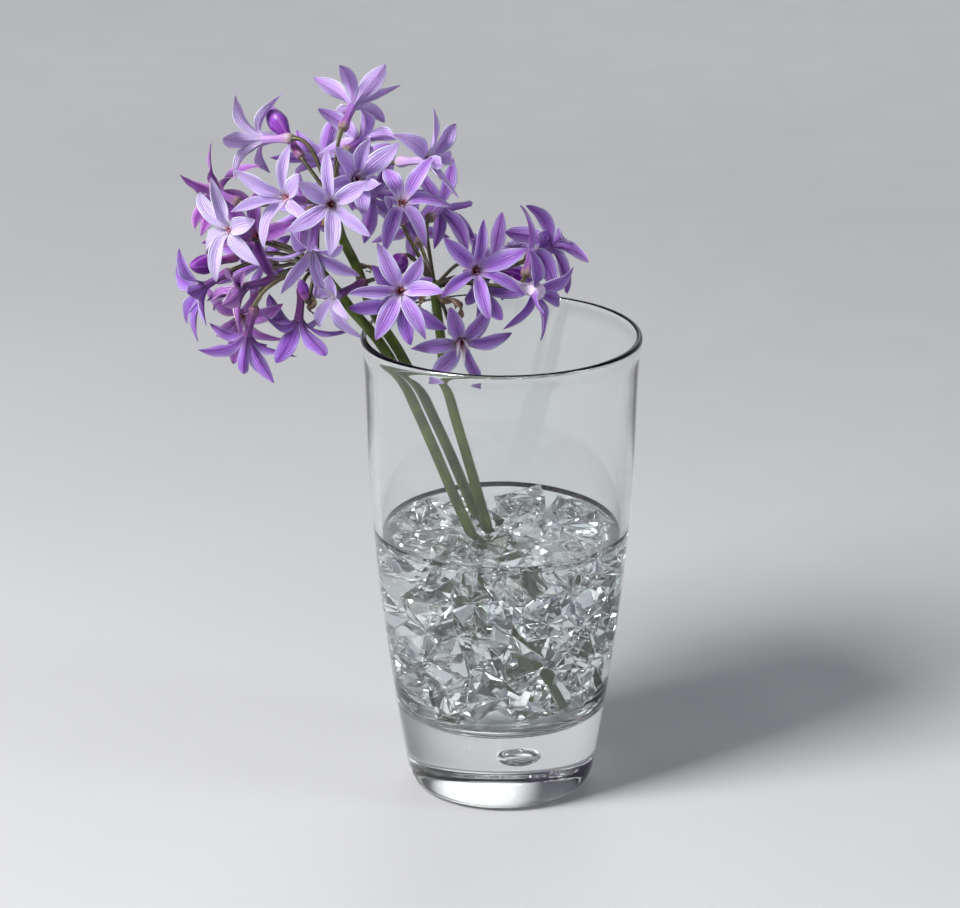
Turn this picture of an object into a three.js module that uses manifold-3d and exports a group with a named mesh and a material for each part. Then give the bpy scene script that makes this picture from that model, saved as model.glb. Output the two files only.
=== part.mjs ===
import * as THREE from 'three';
import { ConvexGeometry } from 'three/addons/geometries/ConvexGeometry.js';
import { mergeVertices } from 'three/addons/utils/BufferGeometryUtils.js';
import Module from 'manifold-3d';

// Three flower stems with round heads of lilac star flowers, standing in a glass tumbler
// of water and clear crystals. Millimetres, +Z up, the front towards -Y.
// The origin is the middle of the tumbler's flat foot.

// Driving sizes
const GLASS_HEIGHT = 137;
const RIM_RADIUS = 40;
const FOOT_RADIUS = 23;
const GLASS_FLOOR = 23;
const GLASS_SIDES = 32;
const WATER_LEVEL = 78.4;
const GAP = 0.3;
const SCAPE_WIDTH = 3;
const PEDICEL_WIDTH = 1.3;
const HEAD_WIDTH = 4.6;
const HEAD_RISE = 0.35;
const TUBE_LENGTH = 12;
const TUBE_WIDTH = 4.2;
const PETAL_LENGTH = 15;
const PETAL_WIDTH = 5.3;
const PETAL_THICKNESS = 1;
const PETALS = 6;
const BUD_WIDTH = 5.4;
const CRYSTAL_WIDTH = 20;
const CRYSTAL_LAYERS = 4;
const CRYSTAL_CORNERS = 7;
const SEED = 2;

// The tumbler's profile as [radius, height]: up the outside, over the lip, down to the floor.
const HEEL = [[0, 0], [FOOT_RADIUS, 0], [FOOT_RADIUS + 2.6, 1]];
const OUTSIDE = [[27, 4], [28.1, 9.6], [28.8, 14], [31.3, 30.3], [35.7, 65.5], [38.1, 101.8], [38.8, 124]];
const LIP = [
  [RIM_RADIUS - 0.5, GLASS_HEIGHT - 3], [RIM_RADIUS, GLASS_HEIGHT - 1.2],
  [RIM_RADIUS - 0.7, GLASS_HEIGHT], [RIM_RADIUS - 1.9, GLASS_HEIGHT - 0.6],
  [RIM_RADIUS - 2.3, GLASS_HEIGHT - 3],
];
const INSIDE = [[28.2, 28.5], [30.1, 36.7], [33.4, 65.5], [35.3, 95.7], [36.8, 124]];
const FLOOR = [[0, GLASS_FLOOR], [22.5, GLASS_FLOOR], [26, GLASS_FLOOR + 1.2]];
const OUTSIDE_STEPS = 6;
const INSIDE_STEPS = 3;

// Clear chunks, as shares of their width: how far the lowest stand above the floor and the
// highest below the water, how far the outer ring stands off the wall and the inner one from
// it, the step round a ring, the play in each place, and how much further the water stays off.
const HEAP = { lowest: 0.5, highest: 0.22, wall: 0.53, ring: 0.74, step: 0.75, play: 0.16, swell: 1.04, bath: 1.11 };

// Sides round and steps along the stems, and how far corners may move to save small faces.
const SCAPE_SIDES = 6;
const SCAPE_STEPS = 12;
const PEDICEL_SIDES = 4;
const PEDICEL_STEPS = 4;
const BLOOM_SIDES = 6;
const TRIM = { stem: 0.05, bloom: 0.05, crystals: 0.08, water: 0.1 };

// A petal's middle line as shares of its length: how far out and forward its crown is. Its
// width and depth are given at four places along it.
const CROWN = { out: 0.4, forward: 0.24 };
const PETAL_PLACES = [0, 0.34, 0.7, 1];
const PETAL_ROOT = { out: 1.1, back: 0.7 };
const SHARED_ROOT = 0.3;

// How far open a star may be and how it may be turned, in degrees.
const OPEN_STARS = [62, 74, 86, 98];
const TURN_STEP = 5;

// How a petal may be shortened or bent to pass clear of the others: shares of its length,
// degrees forward or back, and degrees sideways.
const SHORTER = [1, 0.93, 0.86];
const LIFTS = [-60, -48, -36, -24, -16, -8, 0, 8, 16, 24, 36, 48];
const SWAYS = [-32, -24, -16, -8, 0, 8, 16, 24, 32];
const SWAY_COST = 1.3;

// The eye that the places below were read from: [across, down] pixels of a 960 x 908 picture.
const EYE = new THREE.Vector3(-6.1, -940, 431.6);
const EYE_PITCH = THREE.MathUtils.degToRad(19.4);
const EYE_FOCAL = 3478;
const EYE_MIDDLE = [480, 454];

// Each stem: its head of flowers, its route down to the water read off the picture with the
// depth behind the glass's middle, then the places where it meets the water and the floor.
const STEMS = {
  a: {
    head: [317, 267, -3],
    route: [[342, 297, -3], [351, 309, -2.6], [386, 352, -2.2]],
    inGlass: [[-8.6, -4.6, WATER_LEVEL], [16, -5.6, 26.5]],
  },
  b: {
    head: [334, 207, 2],
    route: [[341, 235, 2], [357, 268, 2.4], [372, 309, 2.8], [402, 357, 3]],
    inGlass: [[-6.4, 4.4, WATER_LEVEL], [12, 6, 26.5]],
  },
  c: {
    head: [434, 288, 0],
    route: [[441, 340, 0], [446, 384, 0]],
    inGlass: [[-4, 0.2, WATER_LEVEL], [8, -0.6, 26.5]],
  },
};

// Each flower: where its throat and the foot of its tube show in the picture, the depth of the
// throat, whether it turns away, and the tips of those of its petals that show.
const BLOOMS = {
  bloom_a1: {
    throat: [312, 252], base: [317, 216], depth: -15,
    tips: [[266, 257], [281, 294], [325, 297], [362, 277], [291, 231]],
  },
  bloom_a2: {
    throat: [226, 229], base: [250, 238], depth: -9,
    tips: [[200, 192], [213, 177], [255, 220], [208, 254], [216, 285], [255, 271]],
  },
  bloom_a3: {
    throat: [200, 289], base: [231, 271], depth: -2,
    tips: [[179, 248], [176, 266], [187, 324], [194, 337], [206, 326], [187, 293]],
  },
  bloom_a4: {
    throat: [246, 340], base: [255, 306], depth: -11, away: true,
    tips: [[198, 350], [243, 374], [277, 379], [293, 358], [267, 345]],
  },
  bloom_a5: {
    throat: [240, 288], base: [277, 279], depth: -7,
    tips: [[222, 305], [239, 334], [206, 305], [224, 279]],
  },
  bloom_a6: {
    throat: [240, 317], base: [259, 293], depth: 3,
    tips: [[216, 336], [230, 347]],
  },
  bloom_a7: {
    throat: [298, 325], base: [303, 284], depth: -6, away: true,
    tips: [[269, 294], [257, 332], [276, 363], [325, 356], [349, 329]],
  },
  bloom_a8: {
    throat: [254, 236], base: [270, 241], depth: 5,
    tips: [[243, 256], [262, 262]],
  },
  bloom_a9: { throat: [262, 262], base: [276, 266], depth: 22, away: true, tips: [] },
  bloom_b1: {
    throat: [354, 103], base: [342, 130], depth: 11, away: true,
    tips: [[313, 77], [339, 65], [385, 64], [400, 85], [389, 114], [332, 121]],
  },
  bloom_b2: {
    throat: [258, 140], base: [293, 138], depth: 8, away: true,
    tips: [[235, 94], [272, 88], [230, 153], [235, 181], [270, 173]],
  },
  bloom_b3: {
    throat: [216, 192], base: [240, 203], depth: 6, away: true,
    tips: [[180, 175], [215, 146], [195, 229], [201, 236]],
  },
  bloom_b4: {
    throat: [283, 197], base: [305, 200], depth: -17,
    tips: [[287, 150], [229, 167], [230, 214], [262, 253], [299, 174], [313, 226]],
  },
  bloom_b5: {
    throat: [331, 204], base: [332, 206], depth: -25,
    tips: [[327, 146], [298, 183], [284, 232], [329, 256], [371, 237], [367, 181]],
  },
  bloom_b6: {
    throat: [357, 178], base: [348, 192], depth: -14,
    tips: [[371, 139], [402, 140], [336, 147], [381, 183]],
  },
  bloom_b7: {
    throat: [361, 140], base: [344, 152], depth: 7, away: true,
    tips: [[360, 109], [396, 139], [385, 155]],
  },
  bloom_b8: {
    throat: [322, 160], base: [330, 176], depth: 17, away: true,
    tips: [[297, 130], [296, 172]],
  },
  bloom_b9: {
    throat: [430, 160], base: [396, 162], depth: -2,
    tips: [[398, 134], [456, 124], [451, 161], [455, 196], [443, 167]],
  },
  bloom_b10: {
    throat: [374, 196], base: [364, 190], depth: 11, away: true,
    tips: [[353, 208], [389, 214]],
  },
  bloom_b11: { throat: [303, 212], base: [312, 210], depth: 28, away: true, tips: [] },
  bloom_b12: { throat: [350, 172], base: [346, 182], depth: 31, away: true, tips: [] },
  bloom_c1: {
    throat: [402, 201], base: [403, 222], depth: -12,
    tips: [[385, 169], [443, 167], [453, 207], [426, 252], [383, 258], [379, 196]],
  },
  bloom_c2: {
    throat: [441, 207], base: [429, 219], depth: 9, away: true,
    tips: [[476, 210], [469, 246], [474, 241], [434, 249]],
  },
  bloom_c3: {
    throat: [477, 270], base: [466, 275], depth: -17,
    tips: [[444, 238], [484, 219], [528, 248], [524, 302], [490, 320], [441, 298]],
  },
  bloom_c4: {
    throat: [484, 291], base: [474, 283], depth: 6,
    tips: [[465, 299], [502, 320], [494, 245]],
  },
  bloom_c5: {
    throat: [533, 247], base: [525, 277], depth: 10, away: true,
    tips: [[520, 205], [503, 248]],
  },
  bloom_c6: {
    throat: [551, 244], base: [526, 260], depth: 20, away: true,
    tips: [[526, 205], [583, 263]],
  },
  bloom_c7: {
    throat: [536, 291], base: [505, 281], depth: -14,
    tips: [[541, 341], [509, 331], [559, 300], [568, 265], [530, 250], [545, 314]],
  },
  bloom_c8: {
    throat: [400, 291], base: [403, 289], depth: -26,
    tips: [[377, 243], [424, 252], [348, 294], [443, 293], [375, 341], [427, 342]],
  },
  bloom_c9: {
    throat: [402, 303], base: [412, 297], depth: -12,
    tips: [[346, 308], [411, 345], [447, 329], [377, 309]],
  },
  bloom_c10: {
    throat: [461, 343], base: [452, 329], depth: -15,
    tips: [[450, 307], [498, 300], [512, 333], [481, 381], [430, 379], [411, 349]],
  },
  bloom_c11: {
    throat: [333, 297], base: [366, 282], depth: -13,
    tips: [[318, 326], [348, 320], [353, 342], [340, 277], [304, 281]],
  },
  bloom_c12: { throat: [414, 228], base: [420, 244], depth: 25, away: true, tips: [] },
  bloom_c13: { throat: [494, 262], base: [480, 272], depth: 31, away: true, tips: [] },
};

// Each bud: the foot of its tube and its tip in the picture, the tip's depth and its length.
const BUDS = {
  bud_a1: { base: [238, 257], tip: [190, 267], depth: 2, length: 18 },
  bud_b1: { base: [302, 158], tip: [268, 107], depth: 15, length: 19, away: true },
  bud_c1: { base: [404, 256], tip: [392, 272], depth: -10, length: 9 },
  bud_c2: { base: [479, 264], tip: [531, 285], depth: 9, length: 17 },
};

const COLOURS = {
  glass: { color: 0xdfe9ea, roughness: 0.05, metalness: 0, transparent: true, opacity: 0.35 },
  water: { color: 0xe6eef0, roughness: 0.03, metalness: 0, transparent: true, opacity: 0.45 },
  crystal: { color: 0xf4f8fa, roughness: 0.04, metalness: 0, transparent: true, opacity: 0.6 },
  stem: { color: 0x66702a, roughness: 0.55, metalness: 0 },
  petal: { color: 0xb79adf, roughness: 0.6, metalness: 0 },
  bud: { color: 0x6a1d8c, roughness: 0.5, metalness: 0 },
};

const wasm = await Module();
wasm.setup();
const { Manifold, Mesh } = wasm;

const object = new THREE.Group();

function signedVolume(geometry) {
  const place = geometry.attributes.position;
  const corner = [0, 1, 2].map(() => new THREE.Vector3());
  let total = 0;
  for (let i = 0; i < geometry.index.count; i += 3) {
    corner.forEach((c, k) => c.fromBufferAttribute(place, geometry.index.getX(i + k)));
    total += corner[0].dot(corner[1].clone().cross(corner[2])) / 6;
  }
  return total;
}

// A closed geometry as a solid, turned right side out.
function solidOf(geometry) {
  const bare = geometry.clone();
  bare.deleteAttribute('normal');
  bare.deleteAttribute('uv');
  const merged = mergeVertices(bare, 1e-4);
  const corners = Array.from(merged.index.array);
  if (signedVolume(merged) < 0) {
    corners.reverse();
  }
  const vertProperties = new Float32Array(merged.attributes.position.array);
  return new Manifold(new Mesh({ numProp: 3, vertProperties, triVerts: new Uint32Array(corners) }));
}

// The largest piece of a solid, with any sealed hollow filled and loose scraps left behind.
function mainBody(solid) {
  return solid.decompose().reduce((best, piece) => (piece.volume() > best.volume() ? piece : best));
}

function addNode(name, solid, colour) {
  const { vertProperties, triVerts, numProp } = solid.getMesh();
  const geometry = new THREE.BufferGeometry();
  const places = new Float32Array((vertProperties.length / numProp) * 3);
  for (let i = 0; i < places.length / 3; i += 1) {
    places.set(vertProperties.subarray(i * numProp, i * numProp + 3), i * 3);
  }
  geometry.setAttribute('position', new THREE.BufferAttribute(places, 3));
  geometry.setIndex(Array.from(triVerts));
  geometry.computeVertexNormals();
  const mesh = new THREE.Mesh(geometry, new THREE.MeshStandardMaterial(COLOURS[colour]));
  mesh.name = name;
  object.add(mesh);
}

// Even draws from 0 to 1, the same on every run.
function drawsFrom(seed) {
  let state = seed;
  return () => {
    state = (state * 1664525 + 1013904223) % 4294967296;
    return state / 4294967296;
  };
}

// Directions of sight and the eye's own axes
const AHEAD = new THREE.Vector3(0, Math.cos(EYE_PITCH), -Math.sin(EYE_PITCH));
const RIGHT = new THREE.Vector3(1, 0, 0);
const UPWARD = new THREE.Vector3(0, Math.sin(EYE_PITCH), Math.cos(EYE_PITCH));

function sight([across, down]) {
  return AHEAD.clone()
    .addScaledVector(RIGHT, (across - EYE_MIDDLE[0]) / EYE_FOCAL)
    .addScaledVector(UPWARD, (EYE_MIDDLE[1] - down) / EYE_FOCAL)
    .normalize();
}

function atPixel(pixel, depth) {
  const ray = sight(pixel);
  return EYE.clone().addScaledVector(ray, (depth - EYE.y) / ray.y);
}

function toPixel(point) {
  const away = point.clone().sub(EYE);
  const range = away.dot(AHEAD);
  return [
    EYE_MIDDLE[0] + (EYE_FOCAL * away.dot(RIGHT)) / range,
    EYE_MIDDLE[1] - (EYE_FOCAL * away.dot(UPWARD)) / range,
  ];
}

// The two places on a pixel's line of sight that lie a given reach from a centre, near one first.
function onSight(pixel, centre, reach) {
  const ray = sight(pixel);
  const offset = centre.clone().sub(EYE);
  const along = offset.dot(ray);
  const beside = EYE.clone().addScaledVector(ray, along);
  const miss = beside.distanceTo(centre);
  const half = Math.sqrt(Math.max(0, reach * reach - miss * miss));
  return [-half, half].map((step) => {
    const arm = beside.clone().addScaledVector(ray, step).sub(centre);
    return centre.clone().addScaledVector(arm.normalize(), reach);
  });
}

// Tumbler, water and crystals
const vectors = (pairs) => pairs.map(([radius, height]) => new THREE.Vector2(radius, height));
const smooth = (pairs, steps) => new THREE.SplineCurve(vectors(pairs)).getPoints(steps);

function lathe(points) {
  const geometry = new THREE.LatheGeometry(points, GLASS_SIDES);
  geometry.rotateX(Math.PI / 2);
  return solidOf(geometry);
}

function tumblerSolid() {
  const outer = smooth(OUTSIDE, OUTSIDE_STEPS);
  const inner = smooth(INSIDE, INSIDE_STEPS).reverse();
  return lathe([...vectors(HEEL), ...outer, ...vectors(LIP), ...inner, ...vectors(FLOOR).reverse()]);
}

// The space inside the tumbler up to a height, kept a gap away from the glass.
function cavitySolid(top, gap) {
  const wall = smooth(INSIDE, INSIDE_STEPS);
  const below = wall.filter((p) => p.y < top);
  const above = wall.find((p) => p.y >= top);
  const last = below.at(-1);
  const share = (top - last.y) / (above.y - last.y);
  const edge = new THREE.Vector2(last.x + (above.x - last.x) * share, top);
  const inset = [...below, edge].map((p) => new THREE.Vector2(p.x - gap, p.y));
  const floor = vectors(FLOOR).map((p) => new THREE.Vector2(Math.min(p.x, FLOOR.at(-1)[0] - gap), p.y + gap));
  return lathe([...floor, ...inset, new THREE.Vector2(0, top)]);
}

function wallRadius(height) {
  const wall = smooth(INSIDE, 8 * INSIDE_STEPS);
  return (wall.find((p) => p.y >= height) ?? wall.at(-1)).x;
}

// The middles of the clear chunks: layers of two rings, each place moved a little at random.
function crystalPlaces(draw) {
  const places = [];
  const lowest = GLASS_FLOOR + CRYSTAL_WIDTH * HEAP.lowest;
  const highest = WATER_LEVEL - CRYSTAL_WIDTH * HEAP.highest;
  for (let layer = 0; layer < CRYSTAL_LAYERS; layer += 1) {
    const height = lowest + ((highest - lowest) * layer) / (CRYSTAL_LAYERS - 1);
    const outer = wallRadius(height) - CRYSTAL_WIDTH * HEAP.wall;
    for (const ring of [outer, outer - CRYSTAL_WIDTH * HEAP.ring]) {
      const count = Math.max(2, Math.floor((2 * Math.PI * ring) / (CRYSTAL_WIDTH * HEAP.step)));
      const start = draw() * Math.PI * 2;
      for (let k = 0; k < count; k += 1) {
        const angle = start + ((k + HEAP.play * (draw() - 0.5)) / count) * Math.PI * 2;
        const lift = (draw() - 0.5) * CRYSTAL_WIDTH * HEAP.play;
        places.push(new THREE.Vector3(ring * Math.cos(angle), ring * Math.sin(angle), height + lift));
      }
    }
  }
  return places;
}

// The corners of one clear chunk: points spread over a ball by the golden angle, then moved.
function crystalCorners(middle, draw) {
  const corners = [];
  const golden = Math.PI * (3 - Math.sqrt(5));
  const turn = draw() * Math.PI * 2;
  const lean = new THREE.Euler(draw() * Math.PI, draw() * Math.PI, 0);
  for (let k = 0; k < CRYSTAL_CORNERS; k += 1) {
    const height = 1 - (2 * k + 1) / CRYSTAL_CORNERS;
    const angle = turn + k * golden + (draw() - 0.5) * 0.5;
    const flat = Math.sqrt(1 - height * height);
    const corner = new THREE.Vector3(flat * Math.cos(angle), flat * Math.sin(angle), height);
    corner.applyEuler(lean).multiplyScalar((CRYSTAL_WIDTH / 2) * (0.9 + 0.12 * draw()));
    corners.push(corner.add(middle));
  }
  return corners;
}

function grown(corners, middle, by) {
  return corners.map((c) => c.clone().sub(middle).multiplyScalar(by).add(middle));
}

// The chunks lie against one another as one heap, and the water fills what they leave.
function addFilling(stemTubes) {
  const draw = drawsFrom(SEED);
  const chunks = crystalPlaces(draw).map((middle) => ({ middle, corners: crystalCorners(middle, draw) }));
  const room = cavitySolid(WATER_LEVEL + CRYSTAL_WIDTH, GAP);
  const heap = (by) => Manifold.union(
    chunks.map(({ middle, corners }) => solidOf(new ConvexGeometry(grown(corners, middle, by)))),
  );
  const channels = Manifold.union(stemTubes);
  const chunksInPlace = heap(HEAP.swell).intersect(room).subtract(channels);
  const bath = cavitySolid(WATER_LEVEL, GAP).subtract(heap(HEAP.bath)).subtract(channels);
  addNode('crystals', mainBody(chunksInPlace.simplify(TRIM.crystals)), 'crystal');
  addNode('water', mainBody(bath.simplify(TRIM.water)), 'water');
}

// Stems
function roundShape(width, sides) {
  const corners = Array.from({ length: sides }, (_, k) => {
    const angle = (k / sides) * Math.PI * 2;
    return new THREE.Vector2((width / 2) * Math.cos(angle), (width / 2) * Math.sin(angle));
  });
  return new THREE.Shape(corners);
}

function rod(curve, width, sides, steps) {
  return solidOf(new THREE.ExtrudeGeometry(
    roundShape(width, sides),
    { extrudePath: curve, steps, bevelEnabled: false },
  ));
}

const headOf = (stem) => atPixel(stem.head.slice(0, 2), stem.head[2]);

function scapeCurve(stem) {
  const seen = stem.route.map(([across, down, depth]) => atPixel([across, down], depth));
  const hidden = stem.inGlass.map((place) => new THREE.Vector3(...place));
  return new THREE.CatmullRomCurve3([headOf(stem), ...seen, ...hidden]);
}

// A pedicel leaves the head of its stem and runs into the foot of a tube in line with it.
function pedicelCurve(stem, base, facing) {
  const head = headOf(stem);
  const reach = head.distanceTo(base);
  const leaving = base.clone().sub(head).normalize().add(new THREE.Vector3(0, 0, HEAD_RISE)).normalize();
  const end = base.clone().addScaledVector(facing, -GAP);
  return new THREE.CubicBezierCurve3(
    head,
    head.clone().addScaledVector(leaving, reach * 0.4),
    end.clone().addScaledVector(facing, -reach * 0.35),
    end,
  );
}

// Flowers
function placed(profile, sides, foot, facing) {
  const geometry = new THREE.LatheGeometry(vectors(profile), sides);
  const upright = new THREE.Quaternion().setFromUnitVectors(new THREE.Vector3(0, 1, 0), facing);
  geometry.applyQuaternion(upright).translate(foot.x, foot.y, foot.z);
  return solidOf(geometry);
}

// Where a flower or a bud stands: its far end, its foot and the way it faces.
function stance(end, base, depth, length, away) {
  const tip = atPixel(end, depth);
  const [near, far] = onSight(base, tip, length);
  const foot = away ? near : far;
  return { tip, foot, facing: tip.clone().sub(foot).normalize() };
}

function tubeSolid({ foot, facing }) {
  const half = TUBE_WIDTH / 2;
  return placed([
    [0, 0], [half * 0.67, half * 0.67], [half, TUBE_LENGTH], [0, TUBE_LENGTH - 0.8],
  ], BLOOM_SIDES, foot, facing);
}

// A bud: a thin tube that swells into a closed, pointed tip.
function budSolid({ foot, facing }, length) {
  const half = BUD_WIDTH / 2;
  const neck = Math.min(length * 0.55, length - BUD_WIDTH * 1.3);
  return placed([
    [0, 0], [half * 0.55, half * 0.5], [half * 0.5, Math.max(half * 0.8, neck * 0.6)],
    [half * 0.8, neck + 1], [half, neck + half], [half * 0.62, length - half * 0.75], [0, length],
  ], BLOOM_SIDES, foot, facing);
}

// A petal's middle line: out of the throat, forward and then over to its tip.
function petalLine({ tip: throat, facing }, end) {
  const arm = end.clone().sub(throat);
  const outward = arm.clone().addScaledVector(facing, -arm.dot(facing)).normalize();
  const root = throat.clone()
    .addScaledVector(outward, PETAL_ROOT.out)
    .addScaledVector(facing, -PETAL_ROOT.back);
  const crown = throat.clone()
    .addScaledVector(outward, PETAL_LENGTH * CROWN.out)
    .addScaledVector(facing, PETAL_LENGTH * CROWN.forward);
  return { curve: new THREE.QuadraticBezierCurve3(root, crown, end), outward };
}

// A petal is a three-sided cone laid along that line, its wide flat side inwards and its keel out.
function petalSolid(place, end, margin = 0) {
  const { curve, outward } = petalLine(place, end);
  const across = new THREE.Vector3().crossVectors(place.facing, outward).normalize();
  const lastRow = PETAL_PLACES.length - 1;
  const cone = new THREE.CylinderGeometry(0, 1, 1, 3, lastRow);
  const spots = cone.attributes.position;
  for (let i = 0; i < spots.count; i += 1) {
    const row = Math.round((0.5 + spots.getY(i)) * lastRow);
    const along = PETAL_PLACES[row];
    const point = curve.getPoint(along);
    const tangent = curve.getTangent(along);
    const back = new THREE.Vector3().crossVectors(across, tangent).normalize();
    const side = Math.abs(spots.getX(i)) > 1e-6 ? Math.sign(spots.getX(i)) : 0;
    const keel = spots.getZ(i) > 1e-6 ? 1 : 0;
    const half = (PETAL_WIDTH / 2) * Math.sin(Math.PI * (0.03 + 0.97 * along));
    const deep = row < lastRow ? PETAL_THICKNESS / 2 + margin : 0;
    point.addScaledVector(tangent, row === lastRow ? margin : 0);
    point.addScaledVector(across, side * (half + margin));
    point.addScaledVector(back, deep * (2 * keel - 1));
    spots.setXYZ(i, point.x, point.y, point.z);
  }
  return solidOf(cone);
}

function starTips({ tip: throat, facing }, open, roll) {
  const first = new THREE.Vector3().crossVectors(facing, RIGHT).normalize();
  const second = new THREE.Vector3().crossVectors(facing, first);
  return Array.from({ length: PETALS }, (_, k) => {
    const angle = roll + (k / PETALS) * Math.PI * 2;
    return throat.clone()
      .addScaledVector(facing, PETAL_LENGTH * Math.cos(open))
      .addScaledVector(first, PETAL_LENGTH * Math.sin(open) * Math.cos(angle))
      .addScaledVector(second, PETAL_LENGTH * Math.sin(open) * Math.sin(angle));
  });
}

// Each seen tip goes with the nearest petal that has none yet.
function matched(star, seen) {
  const pairs = star.flatMap((tip, k) => {
    const [across, down] = toPixel(tip);
    return seen.map((pixel, s) => ({ k, s, miss: Math.hypot(across - pixel[0], down - pixel[1]) }));
  });
  pairs.sort((p, q) => p.miss - q.miss);
  const petals = new Map();
  for (const { k, s, miss } of pairs) {
    if (!petals.has(k) && ![...petals.values()].some((m) => m.s === s)) {
      petals.set(k, { s, miss });
    }
  }
  return petals;
}

// The tips of a flower's petals: an even star, turned and opened to suit the tips that show,
// whose petals then reach those tips.
function petalTips(place, seen) {
  let best = { miss: Infinity };
  for (const open of OPEN_STARS) {
    for (let turn = 0; turn < 360 / PETALS; turn += TURN_STEP) {
      const star = starTips(place, THREE.MathUtils.degToRad(open), THREE.MathUtils.degToRad(turn));
      const petals = matched(star, seen);
      const wide = open > OPEN_STARS[1] ? 1 : 0;
      const miss = [...petals.values()].reduce((sum, m) => sum + m.miss ** 2, wide);
      if (miss < best.miss) {
        best = { miss, star, petals };
      }
    }
  }
  return best.star.map((tip, k) => {
    const found = best.petals.get(k);
    if (!found) {
      return tip;
    }
    const spots = onSight(seen[found.s], place.tip, PETAL_LENGTH);
    return spots[0].distanceTo(tip) < spots[1].distanceTo(tip) ? spots[0] : spots[1];
  });
}

// Every bend to try, the smallest first.
const sizeOf = ([lift, sway]) => Math.hypot(lift, sway * SWAY_COST);
const BENDS = LIFTS.flatMap((lift) => SWAYS.map((sway) => [lift, sway]))
  .sort((p, q) => sizeOf(p) - sizeOf(q));

function bent({ tip: throat, facing }, end, [lift, sway], reach) {
  const arm = end.clone().sub(throat).setLength(PETAL_LENGTH * reach);
  const hinge = new THREE.Vector3().crossVectors(facing, arm).normalize();
  arm.applyAxisAngle(hinge, THREE.MathUtils.degToRad(-lift));
  arm.applyAxisAngle(facing, THREE.MathUtils.degToRad(sway));
  return throat.clone().add(arm);
}

function boxOf(solid) {
  const { min, max } = solid.boundingBox();
  return new THREE.Box3(new THREE.Vector3(...min), new THREE.Vector3(...max));
}

const obstacle = (solid, owner) => ({ solid, owner, box: boxOf(solid) });

// Petals of one flower may share no more than their roots, and anything else shares nothing.
function isClear(solid, obstacles, owner, throat) {
  const box = boxOf(solid);
  return obstacles.every((other) => {
    if (!other.box.intersectsBox(box)) {
      return true;
    }
    const shared = solid.intersect(other.solid);
    if (shared.volume() < 1e-6) {
      return true;
    }
    const { min, max } = boxOf(shared);
    return other.owner === owner
      && Math.max(min.distanceTo(throat), max.distanceTo(throat)) < PETAL_LENGTH * SHARED_ROOT;
  });
}

// A petal bent just enough to pass clear of all that already stands there.
function clearPetal(name, place, end, obstacles) {
  for (const reach of SHORTER) {
    for (const bend of BENDS) {
      const tip = bent(place, end, bend, reach);
      if (isClear(petalSolid(place, tip, GAP), obstacles, name, place.tip)) {
        return petalSolid(place, tip);
      }
    }
  }
  throw new Error(`no room for a petal of ${name}`);
}

function build() {
  const tumbler = tumblerSolid();
  const obstacles = [obstacle(tumbler, 'tumbler')];
  const stances = {};
  const budStances = {};
  for (const [name, { throat, base, depth, away }] of Object.entries(BLOOMS)) {
    stances[name] = stance(throat, base, depth, TUBE_LENGTH, away);
  }
  for (const [name, { tip, base, depth, length, away }] of Object.entries(BUDS)) {
    budStances[name] = stance(tip, base, depth, length, away);
  }

  const stemTubes = [];
  for (const [letter, stem] of Object.entries(STEMS)) {
    const route = scapeCurve(stem);
    const parts = [rod(route, SCAPE_WIDTH, SCAPE_SIDES, SCAPE_STEPS)];
    stemTubes.push(rod(route, SCAPE_WIDTH + 2 * GAP, SCAPE_SIDES, SCAPE_STEPS));
    const head = new THREE.SphereGeometry(HEAD_WIDTH / 2, BLOOM_SIDES, 4);
    head.translate(...headOf(stem).toArray());
    parts.push(solidOf(head));
    for (const [name, place] of Object.entries({ ...stances, ...budStances })) {
      if (name.split('_')[1][0] === letter) {
        const pedicel = pedicelCurve(stem, place.foot, place.facing);
        parts.push(rod(pedicel, PEDICEL_WIDTH, PEDICEL_SIDES, PEDICEL_STEPS));
      }
    }
    parts.forEach((solid) => obstacles.push(obstacle(solid, `stem_${letter}`)));
    addNode(`stem_${letter}`, mainBody(Manifold.union(parts).simplify(TRIM.stem)), 'stem');
  }

  for (const [name, place] of Object.entries(budStances)) {
    const solid = budSolid(place, BUDS[name].length);
    obstacles.push(obstacle(solid, name));
    addNode(name, solid, 'bud');
  }
  const tubes = {};
  for (const [name, place] of Object.entries(stances)) {
    tubes[name] = tubeSolid(place);
    obstacles.push(obstacle(tubes[name], name));
  }
  for (const [name, place] of Object.entries(stances)) {
    const petals = petalTips(place, BLOOMS[name].tips).map((end) => {
      const petal = clearPetal(name, place, end, obstacles);
      obstacles.push(obstacle(petal, name));
      return petal;
    });
    addNode(name, mainBody(Manifold.union([tubes[name], ...petals]).simplify(TRIM.bloom)), 'petal');
  }
  addNode('tumbler', tumbler, 'glass');
  addFilling(stemTubes);
}

build();

export default object;
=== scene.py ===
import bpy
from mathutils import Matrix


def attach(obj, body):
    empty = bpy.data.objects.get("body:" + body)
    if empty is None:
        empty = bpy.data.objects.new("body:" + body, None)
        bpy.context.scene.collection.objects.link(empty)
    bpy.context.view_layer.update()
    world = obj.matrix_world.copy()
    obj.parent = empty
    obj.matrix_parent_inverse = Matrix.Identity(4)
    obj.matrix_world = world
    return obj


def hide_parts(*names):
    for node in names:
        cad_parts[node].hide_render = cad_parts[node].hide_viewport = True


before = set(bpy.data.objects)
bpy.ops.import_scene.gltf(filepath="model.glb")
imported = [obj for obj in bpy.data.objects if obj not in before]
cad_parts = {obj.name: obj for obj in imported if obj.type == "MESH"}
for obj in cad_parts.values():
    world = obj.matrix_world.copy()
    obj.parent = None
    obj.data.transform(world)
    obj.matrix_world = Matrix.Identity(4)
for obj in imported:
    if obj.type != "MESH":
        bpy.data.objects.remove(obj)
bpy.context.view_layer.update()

import math

import bmesh
import bpy
from mathutils import Euler, Quaternion, Vector

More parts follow.
